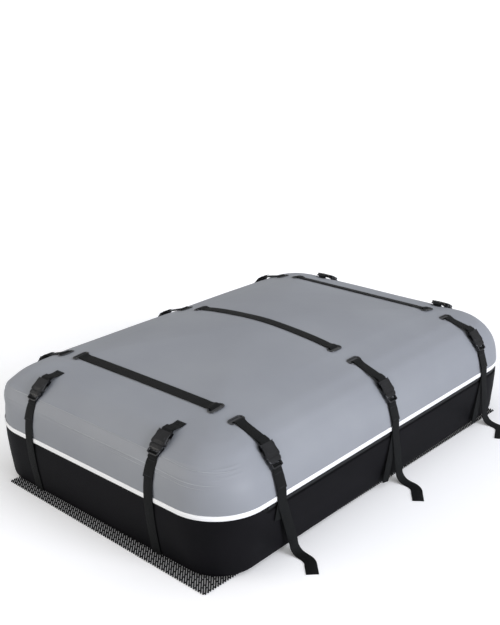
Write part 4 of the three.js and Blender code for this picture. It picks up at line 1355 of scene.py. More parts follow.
@dataclass
class Straps:
    """All webbing: the three cross webs, the four sewn upper ends and the ten lower straps."""

    form: BagForm

    def bar_loop(self, seat: Seat) -> list[np.ndarray]:
        """The end of an upper webbing, to the socket's bar, round it and back on itself.

        Args:
            seat: Where the buckle lies.

        Returns:
            Its points, in the section's plane.
        """
        start, end = HW.socket_back, HW.socket_back + HW.bar_width
        under = HW.bar_bottom - HW.fit_gap - HW.half_web
        over = HW.bar_top + HW.fit_gap + HW.half_web
        back = under + HW.web_thickness + 2 * HW.fit_gap + 1
        turn = end + HW.web_slot / 2
        return [seat.point(s, n) for s, n in (
            (start - 3, under), (end + 1, under), (turn, under + 1.6), (turn, over - 1.2),
            (end + 1, over), (start - 1, over), (start - 5, back), (start - 12, -0.6))]

    def threaded(self, seat: Seat) -> list[np.ndarray]:
        """The strap's way through the plug: under its end bar, over its middle bar and back under.

        Args:
            seat: Where the buckle lies.

        Returns:
            Its points, in the section's plane.
        """
        end = HW.plug_end
        one, two = (start + HW.plug_slot / 2 for start in HW.plug_slots)
        return [seat.point(s, n) for s, n in (
            (end + 4, -0.9), (two + 3, -0.6), (two, 2.2), (two - 1.2, 5.4), ((one + two) / 2, 6.6),
            (one + 1.2, 5.4), (one, 2.2), (one + 3, -1.6), (end + 4, -2.6))]

    def cross_half(self, section: Section) -> list[np.ndarray]:
        """Half of a cross web, from the crown out through its two eyelets.

        Args:
            section: Section across the bag at the web.

        Returns:
            Its points, in the section's plane.
        """
        half, rim = HW.slot_width / 2, HW.slot_width / 2 + HW.eyelet_rim
        ride = HW.eyelet_lift + HW.eyelet_height + 4 * HW.fit_gap + HW.half_web
        under = -(HW.sheet + HW.on_cover)
        flat = HW.on_cover + HW.slack
        inner, outer = HW.inner_eyelet, HW.outer_eyelet
        runs = [(110, flat), (165, flat), (205, flat), (inner - rim - 10, flat), (inner - rim, ride),
                (inner - half + 1.5, ride), (inner + half - 1.5, under),
                ((inner + outer) / 2, under - 0.4),
                (outer - half + 1.5, under), (outer + half - 1.5, ride), (outer + rim, ride),
                (outer + rim + 8, flat + 0.3)]
        return [lifted(section, t_at_reach(section, x), lift) for x, lift in runs]

    def lie(self, x: float, place: float) -> np.ndarray:
        """Direction across a cross web at a distance from the middle, as the cover lies there.

        Args:
            x: The distance.
            place: The web's place along the bag.

        Returns:
            The direction.
        """
        reach = HW.web_width / 2
        distance = min(abs(x), self.form.width / 2 - 1.6 * self.form.side_inset)
        rise = self.form.height(distance, place + reach) - self.form.height(distance, place - reach)
        return unit(np.array([0.0, HW.web_width, rise]))

    def cross_web(self, name: str, place: float) -> bpy.types.Object:
        """Builds one cross web over the whole cover.

        Args:
            name: Its row.
            place: Its place along the bag.

        Returns:
            The web.
        """
        section = self.form.side_section(place)
        seat = HW.seat(section, HW.side_level)
        draped = [Stop(np.array([p[0], 0, p[1]]), self.lie(p[0], place))
                  for p in self.cross_half(section)]
        half = [*draped, *wall_stops(self.bar_loop(seat))]
        top = self.form.height(0, place) + HW.on_cover + HW.slack
        crown = Stop(np.array([0, 0, top]), self.lie(0, place))
        mirrored_half = [Stop(s.at * [-1.0, 1.0, 1.0], s.across) for s in reversed(half)]
        shape = Shape()
        ribbon(shape, [*mirrored_half, crown, *half], HW.web_width, HW.web_thickness)
        return shape.thing(f"web_{name}", WEBBING, 50, Matrix.Translation((0, place, 0)))

    def shoulder_run(self, section: Section, seat: Seat, lift: float, hem_lift: float, start: float,
                     end: float = 400.0) -> list[np.ndarray]:
        """Six points over the shoulder, or from a start to the hem.

        Args:
            section: The section that the strap runs down.
            seat: Where its buckle lies.
            lift: Height of the strap's middle over the cloth at the buckle.
            hem_lift: The same at the hem.
            start: Where it starts, along the strap from the middle of the buckle.
            end: Where it ends; the hem stops it earlier.

        Returns:
            The points, in the section's plane.
        """
        hem_t = t_at_height(section, HW.hem_top + HW.hem_clear)

        def t_along(distance: float) -> float:
            """The t at a distance along the strap."""
            return halved(lambda t: float((section(t) - seat.origin) @ seat.along) > distance,
                          hem_t, seat.t)

        points = []
        for t in np.linspace(t_along(start), t_along(end), 6):
            share = (seat.t - t) / (seat.t - hem_t)
            points.append(lifted(section, float(t), lift + (hem_lift - lift) * share ** 3))
        return points

    def drop(self, spot: Station, x: float) -> list[Stop]:
        """Places of a side strap from the hem down to the ground and out along it.

        Args:
            spot: The buckle's place.
            x: Its distance from the middle on the wall.

        Returns:
            The places.
        """
        bottom, bend = self.form.bottom, HW.drop_bend
        ground = HW.ground_gap + HW.half_web
        stops = [level_stop(x, 0, bottom + 6), level_stop(x, 0, bottom - 6)]
        stops += [level_stop(x, spot.slant * share, (bottom - 6) + (ground + bend - bottom + 6) * share)
                  for share in (0.25, 0.5, 0.75, 1.0)]
        stops += [level_stop(x + bend * (1 - math.cos(a)), spot.slant, ground + bend * (1 - math.sin(a)))
                  for a in np.radians((30, 60, 90))]
        swing, turns = math.radians(spot.swing), 5
        at, run = stops[-1].at, (spot.reach - bend) / turns
        for i in range(1, turns + 1):
            heading, facing = (swing * min(1.0, k / 2.5) for k in (i - 0.5, i))
            at = at + np.array([math.cos(heading), math.sin(heading), 0]) * run
            stops.append(Stop(at, np.array([-math.sin(facing), math.cos(facing), 0])))
        return stops

    def tail(self, spot: Station, x: float) -> list[Stop]:
        """Places of a side strap's free end, which hangs down the wall behind the strap.

        Args:
            spot: The buckle's place.
            x: Its distance from the middle on the wall.

        Returns:
            The places.
        """
        start = self.form.bottom - 10
        stops = [level_stop(x, 0, self.form.bottom + 6)]
        for share in (0.0, 0.5, 1.0):
            low = share * (1 - spot.tail_end / start)
            at = [x - 6 * low, -2 - HW.tail_drift * low, start * (1 - low)]
            stops.append(Stop(np.array(at), unit(np.array([0, 1, -0.2 * share]))))
        return stops

    def side_strap(self, spot: Station) -> tuple[Shape, Shape, Seat]:
        """Builds the strap of a long side: the drop to the ground and the tail behind it.

        Args:
            spot: The buckle's place.

        Returns:
            The webbing, its stitches and the buckle's seat.
        """
        section = self.form.side_section(spot.place)
        seat = HW.seat(section, HW.side_level)
        step = HW.web_thickness + HW.fit_gap
        start = HW.mouth + HW.plug_length + HW.past_plug
        behind = (HW.on_cover, HW.hem_face)
        before = (HW.on_cover + step, HW.hem_face + step)
        way, wall_x = self.threaded(seat), self.form.width / 2 + HW.hem_face
        drop = [*reversed(way[:5]), *self.shoulder_run(section, seat, *before, start)]
        tail = [*way[4:], *self.shoulder_run(section, seat, *behind, start)]
        shape, seams = Shape(), Shape()
        ribbon(shape, [*wall_stops(drop), *self.drop(spot, wall_x + step)], HW.web_width,
               HW.web_thickness, 3)
        ribbon(shape, [*wall_stops(tail), *self.tail(spot, wall_x)], HW.tail_width, HW.web_thickness, 3)
        self.fold(shape, seams, section, seat, *before)
        return shape, seams, seat

    def end_strap(self, spot: Station) -> tuple[Shape, Shape, Seat]:
        """Builds the strap of an end, which follows the tub down to its floor.

        Args:
            spot: The buckle's place.

        Returns:
            The webbing, its stitches and the buckle's seat.
        """
        form = self.form
        section = form.end_section(spot.turn < 0, spot.place)
        seat = HW.seat(section, HW.end_level)
        edge, lift = form.length / 2, HW.on_cover
        start = HW.mouth + HW.plug_length + HW.past_plug
        run = [*reversed(self.threaded(seat)[:5]),
               *self.shoulder_run(section, seat, lift, HW.hem_face, start),
               (edge + HW.hem_face, form.bottom + 6), (edge + HW.hem_face, form.bottom - 4),
               *((edge - inset + lift + HW.slack, z) for inset, z in form.wall_line())]
        shape, seams = Shape(), Shape()
        ribbon(shape, wall_stops(run), HW.web_width, HW.web_thickness, 3)
        self.fold(shape, seams, section, seat, lift, HW.hem_face)
        return shape, seams, seat

    def upper_end(self, spot: Station) -> tuple[Shape, Shape]:
        """Builds the short webbing that is sewn on the cover and holds an end's socket.

        Args:
            spot: The buckle's place.

        Returns:
            The webbing and its stitches.
        """
        section = self.form.end_section(spot.turn < 0, spot.place)
        seat = HW.seat(section, HW.end_level)
        start = t_at_reach(section, HW.end_start)
        end = t_at_reach(section, HW.end_start + HW.sewn_length)
        sewn = [lifted(section, start + (end - start) * share, HW.on_cover) for share in (0, 0.5, 1)]
        shape, seams = Shape(), Shape()
        ribbon(shape, wall_stops([*sewn, *self.bar_loop(seat)]), HW.web_width, HW.web_thickness, 3)
        for p, q in zip(sewn, sewn[1:]):
            self.sew(seams, p, q)
        return shape, seams

    def fold(self, shape: Shape, seams: Shape, section: Section, seat: Seat, lift: float,
             hem_lift: float) -> None:
        """Adds the doubled end of the strap below the plug, sewn with two rows of stitches.

        Args:
            shape: The webbing that it is added to.
            seams: The stitches.
            section: The strap's section.
            seat: Where the buckle lies.
            lift: Height of the strap over the cloth at the buckle.
            hem_lift: The same at the hem.
        """
        start = HW.mouth + HW.plug_length + HW.fold_start
        points = self.shoulder_run(section, seat, lift + HW.web_thickness,
                                   hem_lift + HW.web_thickness, start, start + HW.fold_length)
        points[-1] = points[-1] + seat.out * 1.6
        points[-2] = points[-2] + seat.out * 0.5
        ribbon(shape, wall_stops(points), HW.web_width + HW.fold_margin, HW.web_thickness, 3)
        self.sew(seams, points[0], points[1])
        self.sew(seams, points[-2], points[-1])

    def sew(self, seams: Shape, p: np.ndarray, q: np.ndarray) -> None:
        """Adds a row of stitches across a webbing, midway between two points of its run.

        Args:
            seams: The stitches that it is added to.
            p: The first point.
            q: The second point.
        """
        run = unit(q - p)
        out = np.array([-run[1], run[0]])
        middle = (p + q) / 2 + out * (HW.half_web + 0.1)
        ends = [np.array([middle[0], side * (HW.web_width / 2 - 3), middle[1]]) for side in (-1, 1)]
        stitches(seams, *ends, np.array([out[0], 0, out[1]]))

    def attach(self, shape: Shape, seams: Shape, spot: Station, name: str, node: str,
               body: str = "") -> bpy.types.Object:
        """Makes the objects of a strap, which stands for a node, and of its stitches.

        Args:
            shape: The webbing.
            seams: Its stitches.
            spot: Where its buckle is.
            name: The piece's name.
            node: The frame's node.
            body: The body that it rides on, left out for the lower straps.

        Returns:
            The strap.
        """
        made = dress(shape.thing(name, WEBBING, 50, spot.matrix()), body, node)
        dress(seams.thing(f"{name}_stitches", THREAD, 60, spot.matrix()), "root")
        return made

    def build(self) -> None:
        """Makes every webbing; the lower ones ride on no body."""
        for name, place in ROWS:
            dress(self.cross_web(name, place), "root", f"cross_web_{name}")
        for spot in END_STATIONS:
            self.attach(*self.upper_end(spot), spot, f"upper_end_{spot.name}",
                        f"upper_strap_{spot.name}", "root")
        near = HW.mouth + HW.plug_length
        for spot in (*SIDE_STATIONS, *END_STATIONS):
            shape, seams, seat = self.side_strap(spot) if spot.side else self.end_strap(spot)
            made = self.attach(shape, seams, spot, f"strap_{spot.name}", f"lower_strap_{spot.name}")
            for s in (near, near + HW.bend_length):
                p = seat.point(s, 0)
                tuple(turned(np.array([p[0], 0, p[1]]), spot.matrix()) * MM)
            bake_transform(made)


def soft_box(x0: float, x1: float, y0: float, y1: float, radius: float) -> np.ndarray:
    """Outline of a rectangle with round corners.

    Args:
        x0: Its low X.
        x1: Its high X.
        y0: Its low Y.
        y1: Its high Y.
        radius: Radius of its corners.

    Returns:
        Its points, one row each.
    """
    radius = min(radius, (x1 - x0) / 2 - 0.01, (y1 - y0) / 2 - 0.01)
    plan = rounded_plan((x1 - x0) / 2, (y1 - y0) / 2, (y1 - y0) / 2, radius, radius, (1, 6, 1))
    return plan + [(x0 + x1) / 2, (y0 + y1) / 2]


def mirrored(upper: Sequence[tuple[float, float]]) -> np.ndarray:
    """Outline from its half on the +Y side and the mirror image of that half."""
    return np.array([*upper, *((x, -y) for x, y in reversed(upper))])


@dataclass
class Buckles:
    """Side-release buckles: sockets on the upper webbing, plugs on the lower straps.

    In the outlines x runs from the mouth of the socket, and y comes in from half the buckle's width.
    """

    form: BagForm
    wall: float = 2.6
    edge: float = 1.0
    wall_gap: float = 0.4

    def socket(self) -> Shape:
        """Builds a socket: two plates, its mouth, its neck and its bar, open at the sides.

        Returns:
            The shape, with the mouth towards +X.
        """
        half, back, mouth, top = HW.buckle_width / 2, HW.socket_back, HW.mouth, HW.buckle_height
        neck, bar_end = back + HW.bar_width + HW.web_slot + 4, back + HW.bar_width
        grip = [(mouth - x, half - y) for x, y in (
            (0, 3), (2, 0.5), (7, 0), (14, 1.6), (22, 2.2), (30, 0.8))]
        base = [*grip, (neck + 3, half - 0.3), (neck - 1, half - 3), (back + 3, half - 4),
                (back, half - 7)]
        lid = [*grip, (neck + 3, half - 0.6), (neck - 0.5, half - 3.5), (neck - 1, half - 8)]
        slot = soft_box(bar_end, bar_end + HW.web_slot, -half + 7, half - 7, 2.5)
        shape = Shape()
        shape.plate(mirrored(base), 0, self.wall, self.edge, [slot])
        shape.plate(mirrored(lid), top - self.wall, top, self.edge)
        shape.plate(soft_box(mouth - 24, mouth - 7, -13, 13, 5), top - 0.4, top + 0.5, 0.4)
        low, high = 0.6, top - 0.6
        for side in (-1, 1):
            ends = sorted((side * (half - 5.5), side * (half - 0.8)))
            shape.plate(soft_box(mouth - 10.5, mouth, *ends, 1.8), low, high, 0.5)
            shape.plate(soft_box(neck, mouth - 29, *ends, 1.8), low, high, 0.5)
        shape.plate(soft_box(neck, mouth - 35, -half + 2, half - 2, 1.5), low, high, 0.4)
        bar = soft_box(back, bar_end, -half + 6.4, half - 6.4, 1.6)
        shape.plate(bar, HW.bar_bottom, HW.bar_top, 1.2)
        for k in range(3):
            x = mouth - 1.6 - 2.4 * k
            rib = soft_box(x - 0.7, x + 0.7, -half + 7, half - 7, 0.6)
            shape.plate(rib, top - 0.3, top + 0.45, 0.35)
        return shape

    def plug(self) -> Shape:
        """Builds a plug: its ladder with two slots, the spring arms with their barbs and the tongue.

        Returns:
            The shape, in its socket.
        """
        half, mouth, top = HW.buckle_width / 2, HW.mouth, HW.buckle_height
        start, end = HW.plug_start, HW.plug_end
        shoulder = start + HW.plug_collar
        front = [(start, half - 3), (start + 1.5, half - 0.6), (start + 5, half), (shoulder, half - 2)]
        ladder = [*front, (end - 8, half - 3.4), (end - 2, half - 4.6), (end, half - 8)]
        slots = [soft_box(x, x + HW.plug_slot, -half + 7, half - 7, 2.2) for x in HW.plug_slots]
        shape = Shape()
        shape.plate(mirrored(ladder), 0, 5.2, 1.0, slots)
        shape.plate(mirrored([*front, (shoulder + 1.5, half - 5)]), 0, top - 1, 1.4)
        for side in (-1, 1):
            rail = sorted((side * (half - 7.4), side * (half - 3.2)))
            shape.plate(soft_box(shoulder, end - 1.5, *rail, 2.0), 0, 7.6, 1.2)
        for k in range(4):
            x = start + 2.2 + 2.2 * k
            rib = soft_box(x - 0.6, x + 0.6, -half + 9, half - 9, 0.5)
            shape.plate(rib, top - 1.3, top - 0.55, 0.3)
        low, high = self.wall + self.wall_gap, top - self.wall - self.wall_gap
        wide, tip = half - 2.4 * self.wall, mouth - HW.prong_length
        arm = [(start + 1, wide - 6.5), (start + 1, wide - 1), (mouth - 9, wide - 2.5), (mouth - 11, wide),
               (mouth - 20, wide + 0.2), (tip + 4, wide - 1.2), (tip, wide - 5), (tip + 3, wide - 7.5),
               (mouth - 14, wide - 6.4)]
        for side in (-1, 1):
            loop = np.array([(x, side * y) for x, y in arm])
            shape.plate(loop if side > 0 else loop[::-1], low, high, 0.9)
        shape.plate(soft_box(tip + 8, start + 1, -4.5, 4.5, 2.0), low, high, 0.9)
        return shape

    def build(self) -> None:
        """Makes the ten pairs, each where its station has it."""
        form, socket, plug = self.form, self.socket(), self.plug()
        for spot in (*SIDE_STATIONS, *END_STATIONS):
            if spot.side:
                seat = HW.seat(form.side_section(spot.place), HW.side_level)
            else:
                seat = HW.seat(form.end_section(spot.turn < 0, spot.place), HW.end_level)
            lay = Matrix.Translation((seat.origin[0], 0, seat.origin[1]))
            lay = lay @ Matrix.Rotation(-math.atan2(seat.along[1], seat.along[0]), 4, "Y")
            for shape, kind, body in ((socket, "socket", "root"), (plug, "plug", f"plug_{spot.name}")):
                made = shape.thing(f"{kind}_{spot.name}", ACETAL, 35, spot.matrix() @ lay)
                dress(made, body, f"buckle_{kind}_{spot.name}")


@dataclass
class Eyelets:
    """Slot eyelets pressed on the cover, two on each side of each cross web."""

    form: BagForm

    def ring(self) -> Shape:
        """Builds one: a domed rim round the slot and a flat dark plate across the slot, painted shade in
        place of the open hole.

        Returns:
            The shape, lying on the plane.
        """
        length = HW.slot_length + HW.slot_width * 0.4
        rim, height = HW.eyelet_rim, HW.eyelet_height
        middle = stadium(length + rim, HW.slot_width + rim, 20)
        tangent = unit(np.roll(middle, -1, axis=0) - np.roll(middle, 1, axis=0))
        out = np.c_[tangent[:, 1], -tangent[:, 0]]
        rows = []
        for angle in circle(14):
            offset, z = rim / 2 * math.cos(angle), height * 0.5 * (1 + math.sin(angle))
            rows.append(np.c_[middle + out * offset, np.full(len(middle), z)])
        rows.append(rows[0])
        shape = Shape()
        shape.grid(np.array(rows), closed=True)
        # A flat dark plate fills the slot: painted shade in place of the open hole.
        shape.plate(stadium(length + 1.2, HW.slot_width + 1.2, 20), 0.0, 0.5, 0.1)
        return shape

    def lay(self, x: float, y: float) -> Matrix:
        """Frame on the cover at a point of the plan.

        Args:
            x: Place across the bag.
            y: Place along the bag.

        Returns:
            The frame, in millimetres.
        """
        step, height = 6.0, self.form.height
        along_x = Vector((2 * step, 0, height(x + step, y) - height(x - step, y))).normalized()
        along_y = Vector((0, 2 * step, height(x, y + step) - height(x, y - step))).normalized()
        normal = along_x.cross(along_y).normalized()
        square = normal.cross(along_x).normalized()
        at = Vector((x, y, height(x, y))) + normal * HW.eyelet_lift
        turn = Matrix((along_x, square, normal)).transposed().to_4x4()
        return Matrix.Translation(at) @ turn

    def build(self) -> None:
        """Makes the twelve."""
        ring = self.ring()
        for row, y in ROWS:
            for side, x in EYELET_SIDES:
                made = ring.thing(f"slot_ring_{row}_{side}", POLISHED_ACETAL_PAINTED_HIGHLIGHT, 60, self.lay(x, y))
                dress(made, "root", f"eyelet_{row}_{side}")


@dataclass
class Mat:
    """The open mesh mat under the bag: real strands where it shows, and a sheet in its middle."""

    width: float = 745.0
    length: float = 1230.0
    turn: float = -1.2
    shift: tuple[float, float] = (50.0, -46.0)
    pitch: float = 5.4
    tie_pitch: float = 30.0
    tie_width: float = 2.2
    strand_widths: tuple[float, float] = (3.5, 3.9)
    border: float = 95.0
    lean: float = 44.0
    thickness: float = 3.6

    def lines(self, direction: np.ndarray, across: np.ndarray, offset: float) -> Iterator[tuple]:
        """Goes through the mat's lines of one direction.

        Args:
            direction: Unit vector along them.
            across: Unit vector across them.
            offset: How far they are moved across, as a share of their pitch.

        Yields:
            A line's number, its foot, its stretch in the mat and the part of that in the plain middle.
        """
        half = np.array([self.width / 2, self.length / 2])
        reach = float(np.abs(half) @ np.abs(across))
        for k in range(int(-reach / self.pitch), int(reach / self.pitch) + 1):
            foot = across * (k + offset) * self.pitch
            stretch = self.clip(foot, direction, half)
            if stretch:
                yield k, foot, stretch, self.clip(foot, direction, half - self.border)

    def strands(self, shape: Shape, direction: np.ndarray, across: np.ndarray) -> None:
        """Adds the strands, a little wider at every other tie, cut by the mat's outline.

        Args:
            shape: What they are added to.
            direction: Unit vector along them.
            across: Unit vector across them.
        """
        top = self.thickness
        for k, foot, stretch, middle in self.lines(direction, across, 0):
            parts = [(stretch[0], middle[0]), (middle[1], stretch[1])] if middle else [stretch]
            for a, b in parts:
                if b - a < 1:
                    continue
                count = max(2, int((b - a) / (self.tie_pitch / 2)) + 1)
                line = foot + direction * np.linspace(a, b, count)[:, None]
                wide = np.where(np.arange(count) % 2 == k % 2, self.strand_widths[1], self.strand_widths[0])
                rows = [np.c_[line + across * (u * wide / 2)[:, None], np.full(count, z)]
                        for u, z in ((-0.5, 0), (0.5, 0), (1, top / 2), (0.45, top), (-0.45, top),
                                     (-1, top / 2))]
                shape.grid(np.stack(rows, axis=1), closed=True, caps=True)

    def ties(self, shape: Shape, direction: np.ndarray, across: np.ndarray) -> None:
        """Adds the short ties between neighbouring strands, staggered from one gap to the next.

        Args:
            shape: What they are added to.
            direction: Unit vector along the strands.
            across: Unit vector across them.
        """
        a, b = across * self.pitch * 0.36, direction * self.tie_width / 2
        for k, foot, (start, end), middle in self.lines(direction, across, 0.5):
            for place in np.arange(start + 6 + (k % 2) * self.tie_pitch / 2, end - 3, self.tie_pitch):
                if middle and middle[0] + 3 < place < middle[1] - 3:
                    continue
                at = foot + direction * place
                ring = np.array([at - a - b, at + a - b, at + a + b, at - a + b])
                rows = [np.c_[ring, np.full(4, z)] for z in (0.5, self.thickness - 0.9)]
                shape.grid(np.array(rows), closed=True, caps=True)

    @staticmethod
    def clip(base: np.ndarray, direction: np.ndarray, half: np.ndarray) -> tuple[float, float] | None:
        """Stretch of a line inside a rectangle about the origin, or None.

        Args:
            base: A point of the line.
            direction: Its direction.
            half: Half the rectangle's sides.

        Returns:
            Where it goes in and out, or None.
        """
        low, high = -1e9, 1e9
        for axis in (0, 1):
            ends = sorted((side * half[axis] - base[axis]) / direction[axis] for side in (-1, 1))
            low, high = max(low, ends[0]), min(high, ends[1])
        return (low, high) if high > low else None

    def build(self) -> None:
        """Makes the mesh border and the middle of the mat."""
        lean = math.radians(self.lean)
        first = np.array([-math.sin(lean), math.cos(lean)])
        second = np.array([math.cos(lean), math.sin(lean)])
        shape = Shape()
        self.strands(shape, first, second)
        self.ties(shape, first, second)
        x, y = (size / 2 - self.border + 4 for size in (self.width, self.length))
        shape.plate(soft_box(-x, x, -y, y, 2), 0.2, self.thickness - 0.2, 0.3)
        place = Matrix.Translation((*self.shift, 0)) @ Matrix.Rotation(math.radians(self.turn), 4, "Z")
        made = shape.thing("mesh_mat", FOAM_MESH, 60, place)
        dress(made, "root", "anti_slip_mat")


@dataclass
class ZipChain:
    """The zip round both sides and the rear: its tape, its coil and the finish of its sliders."""

    form: BagForm
    tape_face: float = 3.3
    tape_thickness: float = 1.2
    tape_overlap: float = 11.0
    coil_width: float = 9.4
    coil_proud: float = 2.2
    tooth_pitch: float = 3.2
    end_run: float = 24.0

    def path(self, offset: float, start_run: float, step: float) -> np.ndarray:
        """Points of the zip's run in the plan, from the right front round the rear to the left front.

        Args:
            offset: How far they lie inside the seam's plan.
            start_run: How far after the front corners the run starts and ends.
            step: Their spacing.

        Returns:
            The points, one row each.
        """
        form = self.form
        x, y = form.width / 2 - offset, form.length / 2 - offset
        radius = form.rear_corner - offset
        front = -form.length / 2 + form.front_corner + start_run
        angles = np.linspace(0, math.pi / 2, 24)
        bend = np.c_[x - radius + radius * np.cos(angles), y - radius + radius * np.sin(angles)]
        points = np.vstack([
            np.c_[np.full(60, x), np.linspace(front, y - radius, 60)], bend,
            np.c_[np.linspace(x - radius, -x + radius, 40), np.full(40, y)], (bend * [-1, 1])[::-1],
            np.c_[np.full(60, -x), np.linspace(y - radius, front, 60)],
        ])
        gaps = np.linalg.norm(np.diff(points, axis=0), axis=1)
        points = points[np.r_[True, gaps > 1e-6]]
        run = np.r_[0, np.cumsum(np.linalg.norm(np.diff(points, axis=0), axis=1))]
        marks = np.arange(0, run[-1], step)
        return np.c_[np.interp(marks, run, points[:, 0]), np.interp(marks, run, points[:, 1])]

    def build(self) -> None:
        """Makes tape and coil and dresses the sliders and pulls."""
        form = self.form
        low = form.seam - form.zip_opening - self.tape_overlap
        high = form.bottom + self.tape_overlap
        centre = (form.seam - form.zip_opening + form.bottom) / 2
        faces = [self.path(inset, 3, 8) for inset in (self.tape_face, self.tape_face + self.tape_thickness)]
        count = min(len(face) for face in faces)
        outer, inner = (face[:count] for face in faces)
        rows = [np.c_[face, np.full(count, z)]
                for face, z in ((outer, low), (outer, high), (inner, high), (inner, low))]
        tape = Shape().grid(np.stack(rows, axis=1), closed=True, caps=True)
        dress(tape.thing("zip_tape", ZIP_TAPE, 40), "root", "zip_chain")
        coil = Shape()
        teeth = self.path(self.tape_face - self.coil_proud / 2, self.end_run, self.tooth_pitch / 2)
        for k, (at, along) in enumerate(zip(teeth, unit(np.gradient(teeth, axis=0)))):
            self.tooth(coil, at, along, centre, 1 if k % 2 else -1)
        dress(coil.thing("zip_coil", COIL, 50), "root")
        for side in ("left", "right"):
            for node, finish in ((f"zip_slider_{side}", ENAMEL), (f"pull_tab_{side}", ACETAL)):
                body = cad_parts[node]
                body.data.materials.clear()
                body.data.materials.append(finish.material())
                bevel = body.modifiers.new("worn_edges", "BEVEL")
                bevel.width = 0.35 * MM
                bevel.segments = 2
                bevel.limit_method = "ANGLE"
                bevel.angle_limit = math.radians(35)

    def tooth(self, shape: Shape, at: np.ndarray, along: np.ndarray, centre: float, side: int) -> None:
        """Adds one turn of the coil: a flat loop reaching past the middle from above or below.

        Args:
            shape: What it is added to.
            at: Its place in the plan.
            along: The zip's direction.
            centre: Height of the middle.
            side: 1 from above, -1 from below.
        """
        out = np.array([along[1], -along[0]])
        wide, deep = self.tooth_pitch * 0.3, self.coil_proud / 2
        reach = self.coil_width / 2
        profile = [(-1, -0.5), (-0.5, -1), (0.5, -1), (1, -0.5),
                   (1, 0.5), (0.5, 1), (-0.5, 1), (-1, 0.5)]
        rows = []
        for z, f in ((-0.9 * reach, 0.75), (-0.75 * reach, 1.0), (0.1 * reach, 1.0), (0.26 * reach, 1.15),
                     (0.38 * reach, 0.6)):
            ring = [[*(at + along * (a * wide * f) + out * (d * deep * f)), centre + side * -z]
                    for a, d in profile]
            rows.append(ring if side > 0 else ring[::-1])
        shape.grid(np.array(rows), closed=True, caps=True)


# The view

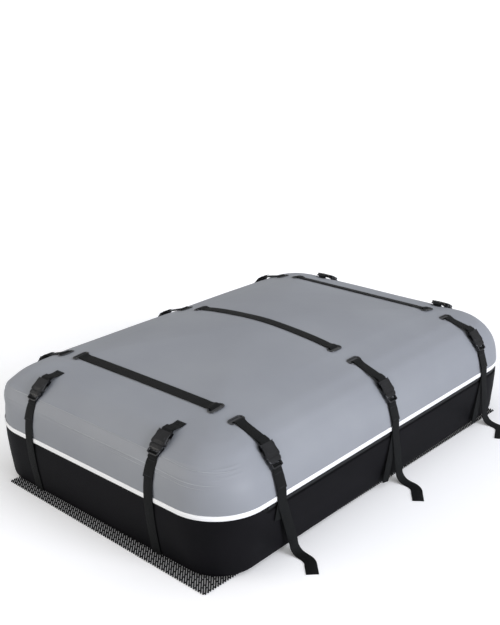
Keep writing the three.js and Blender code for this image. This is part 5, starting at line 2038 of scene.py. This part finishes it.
@dataclass(frozen=True)
class Studio:
    """Camera at the photograph's place, a plain pale floor and soft light.

    Places are in metres here. room_light and floor_glow are strengths of light.
    """

    eye: tuple[float, float, float] = (1.6882, -1.9021, 1.2967)
    target: tuple[float, float, float] = (-0.35645, 0.33354, 0.2)
    roll: float = -1.066
    focal_pixels: float = 967.0
    image_height: float = 625.0
    sensor: float = 36.0
    room_light: float = 0.42
    floor_colour: str = "#D8DADC"
    floor_glow: float = 0.16
    floor_reach: float = 60.0

    def camera(self) -> None:
        """Adds the camera, whose sensor lies along the picture's long side."""
        data = bpy.data.cameras.new("camera")
        data.sensor_width = self.sensor
        data.lens = self.focal_pixels / self.image_height * self.sensor
        data.clip_start, data.clip_end = 0.05, 200
        thing = placed("camera", data)
        forward = (Vector(self.target) - Vector(self.eye)).normalized()
        turn = forward.to_track_quat("-Z", "Y").to_matrix().to_4x4()
        roll = Matrix.Rotation(math.radians(self.roll), 4, "Z")
        thing.matrix_world = Matrix.Translation(self.eye) @ turn @ roll
        bpy.context.scene.camera = thing

    def light(self, name: str, azimuth: float, elevation: float, strength: float, size: float,
              tint: str) -> None:
        """Adds a distant soft lamp; azimuth 0 shines from -Y and 90 from +X.

        Args:
            name: Its name.
            azimuth: Where it comes from, in degrees.
            elevation: How high it stands, in degrees.
            strength: Its strength.
            size: Its width in the sky, in degrees.
            tint: Its colour.
        """
        data = bpy.data.lights.new(name, "SUN")
        data.energy = strength
        data.angle = math.radians(size)
        data.color = linear(tint)[:3]
        thing = placed(name, data)
        a, e = math.radians(azimuth), math.radians(elevation)
        towards = Vector((math.sin(a) * math.cos(e), -math.cos(a) * math.cos(e), math.sin(e)))
        thing.rotation_euler = towards.to_track_quat("Z", "Y").to_euler()

    def world(self) -> None:
        """Sets the even light of the room, which is white to the camera."""
        world = bpy.data.worlds.new("room")
        bpy.context.scene.world = world
        world.use_nodes = True
        tree = world.node_tree
        tree.nodes.clear()
        path = add_node(tree, "ShaderNodeLightPath").outputs
        seen = math_chain(tree, path["Is Camera Ray"], ("MAXIMUM", path["Is Transmission Ray"]))
        strength = math_chain(tree, seen, ("MULTIPLY", 1 - self.room_light), ("ADD", self.room_light))
        sky = add_node(tree, "ShaderNodeBackground", {"Color": (1, 1, 1, 1), "Strength": strength})
        add_node(tree, "ShaderNodeOutputWorld", {0: sky.outputs[0]})

    def floor(self) -> None:
        """Adds the pale floor, a little whiter to the camera than to the light it throws back."""
        mesh = bpy.data.meshes.new("floor")
        far = self.floor_reach
        corners = [(-far, -far, 0), (far, -far, 0), (far, far, 0), (-far, far, 0)]
        mesh.from_pydata(corners, [], [(0, 1, 2, 3)])
        floor = placed("floor", mesh)
        made = bpy.data.materials.new("pale_floor")
        made.use_nodes = True
        tree = made.node_tree
        tree.nodes.clear()
        path = add_node(tree, "ShaderNodeLightPath").outputs
        colour = add_node(tree, "ShaderNodeMix", {
            0: path["Is Camera Ray"], 6: linear(self.floor_colour), 7: (1.0, 1.0, 1.0, 1.0),
        }, data_type="RGBA").outputs[2]
        shader = add_node(tree, "ShaderNodeBsdfDiffuse", {"Color": colour})
        white = math_chain(tree, path["Is Camera Ray"], ("MULTIPLY", self.floor_glow))
        glow = add_node(tree, "ShaderNodeEmission", {"Color": (1.0, 1.0, 1.0, 1.0), "Strength": white})
        both = add_node(tree, "ShaderNodeAddShader", {0: shader.outputs[0], 1: glow.outputs[0]})
        add_node(tree, "ShaderNodeOutputMaterial", {0: both.outputs[0]})
        mesh.materials.append(made)

    def build(self) -> None:
        """Makes the camera, the lamps, the room and the floor."""
        self.camera()
        self.world()
        self.floor()
        self.light("key_from_right", 98, 16, 2.7, 34, "#F4F6FF")
        self.light("fill_from_front", -38, 14, 1.5, 50, "#FFF9F1")
        self.light("top_soft", 150, 72, 0.75, 80, "#F1F5FF")
        bpy.context.scene.view_settings.view_transform = "Standard"


def main() -> None:
    """Builds the bag's pieces in order."""
    logging.basicConfig(level=logging.INFO, format="%(name)s: %(message)s")
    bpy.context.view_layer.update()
    Studio().build()
    form = BagForm()
    for part in (Shells(form), Straps(form), Buckles(form), Eyelets(form), ZipChain(form), Mat()):
        part.build()


if __name__ == "__main__":
    main()
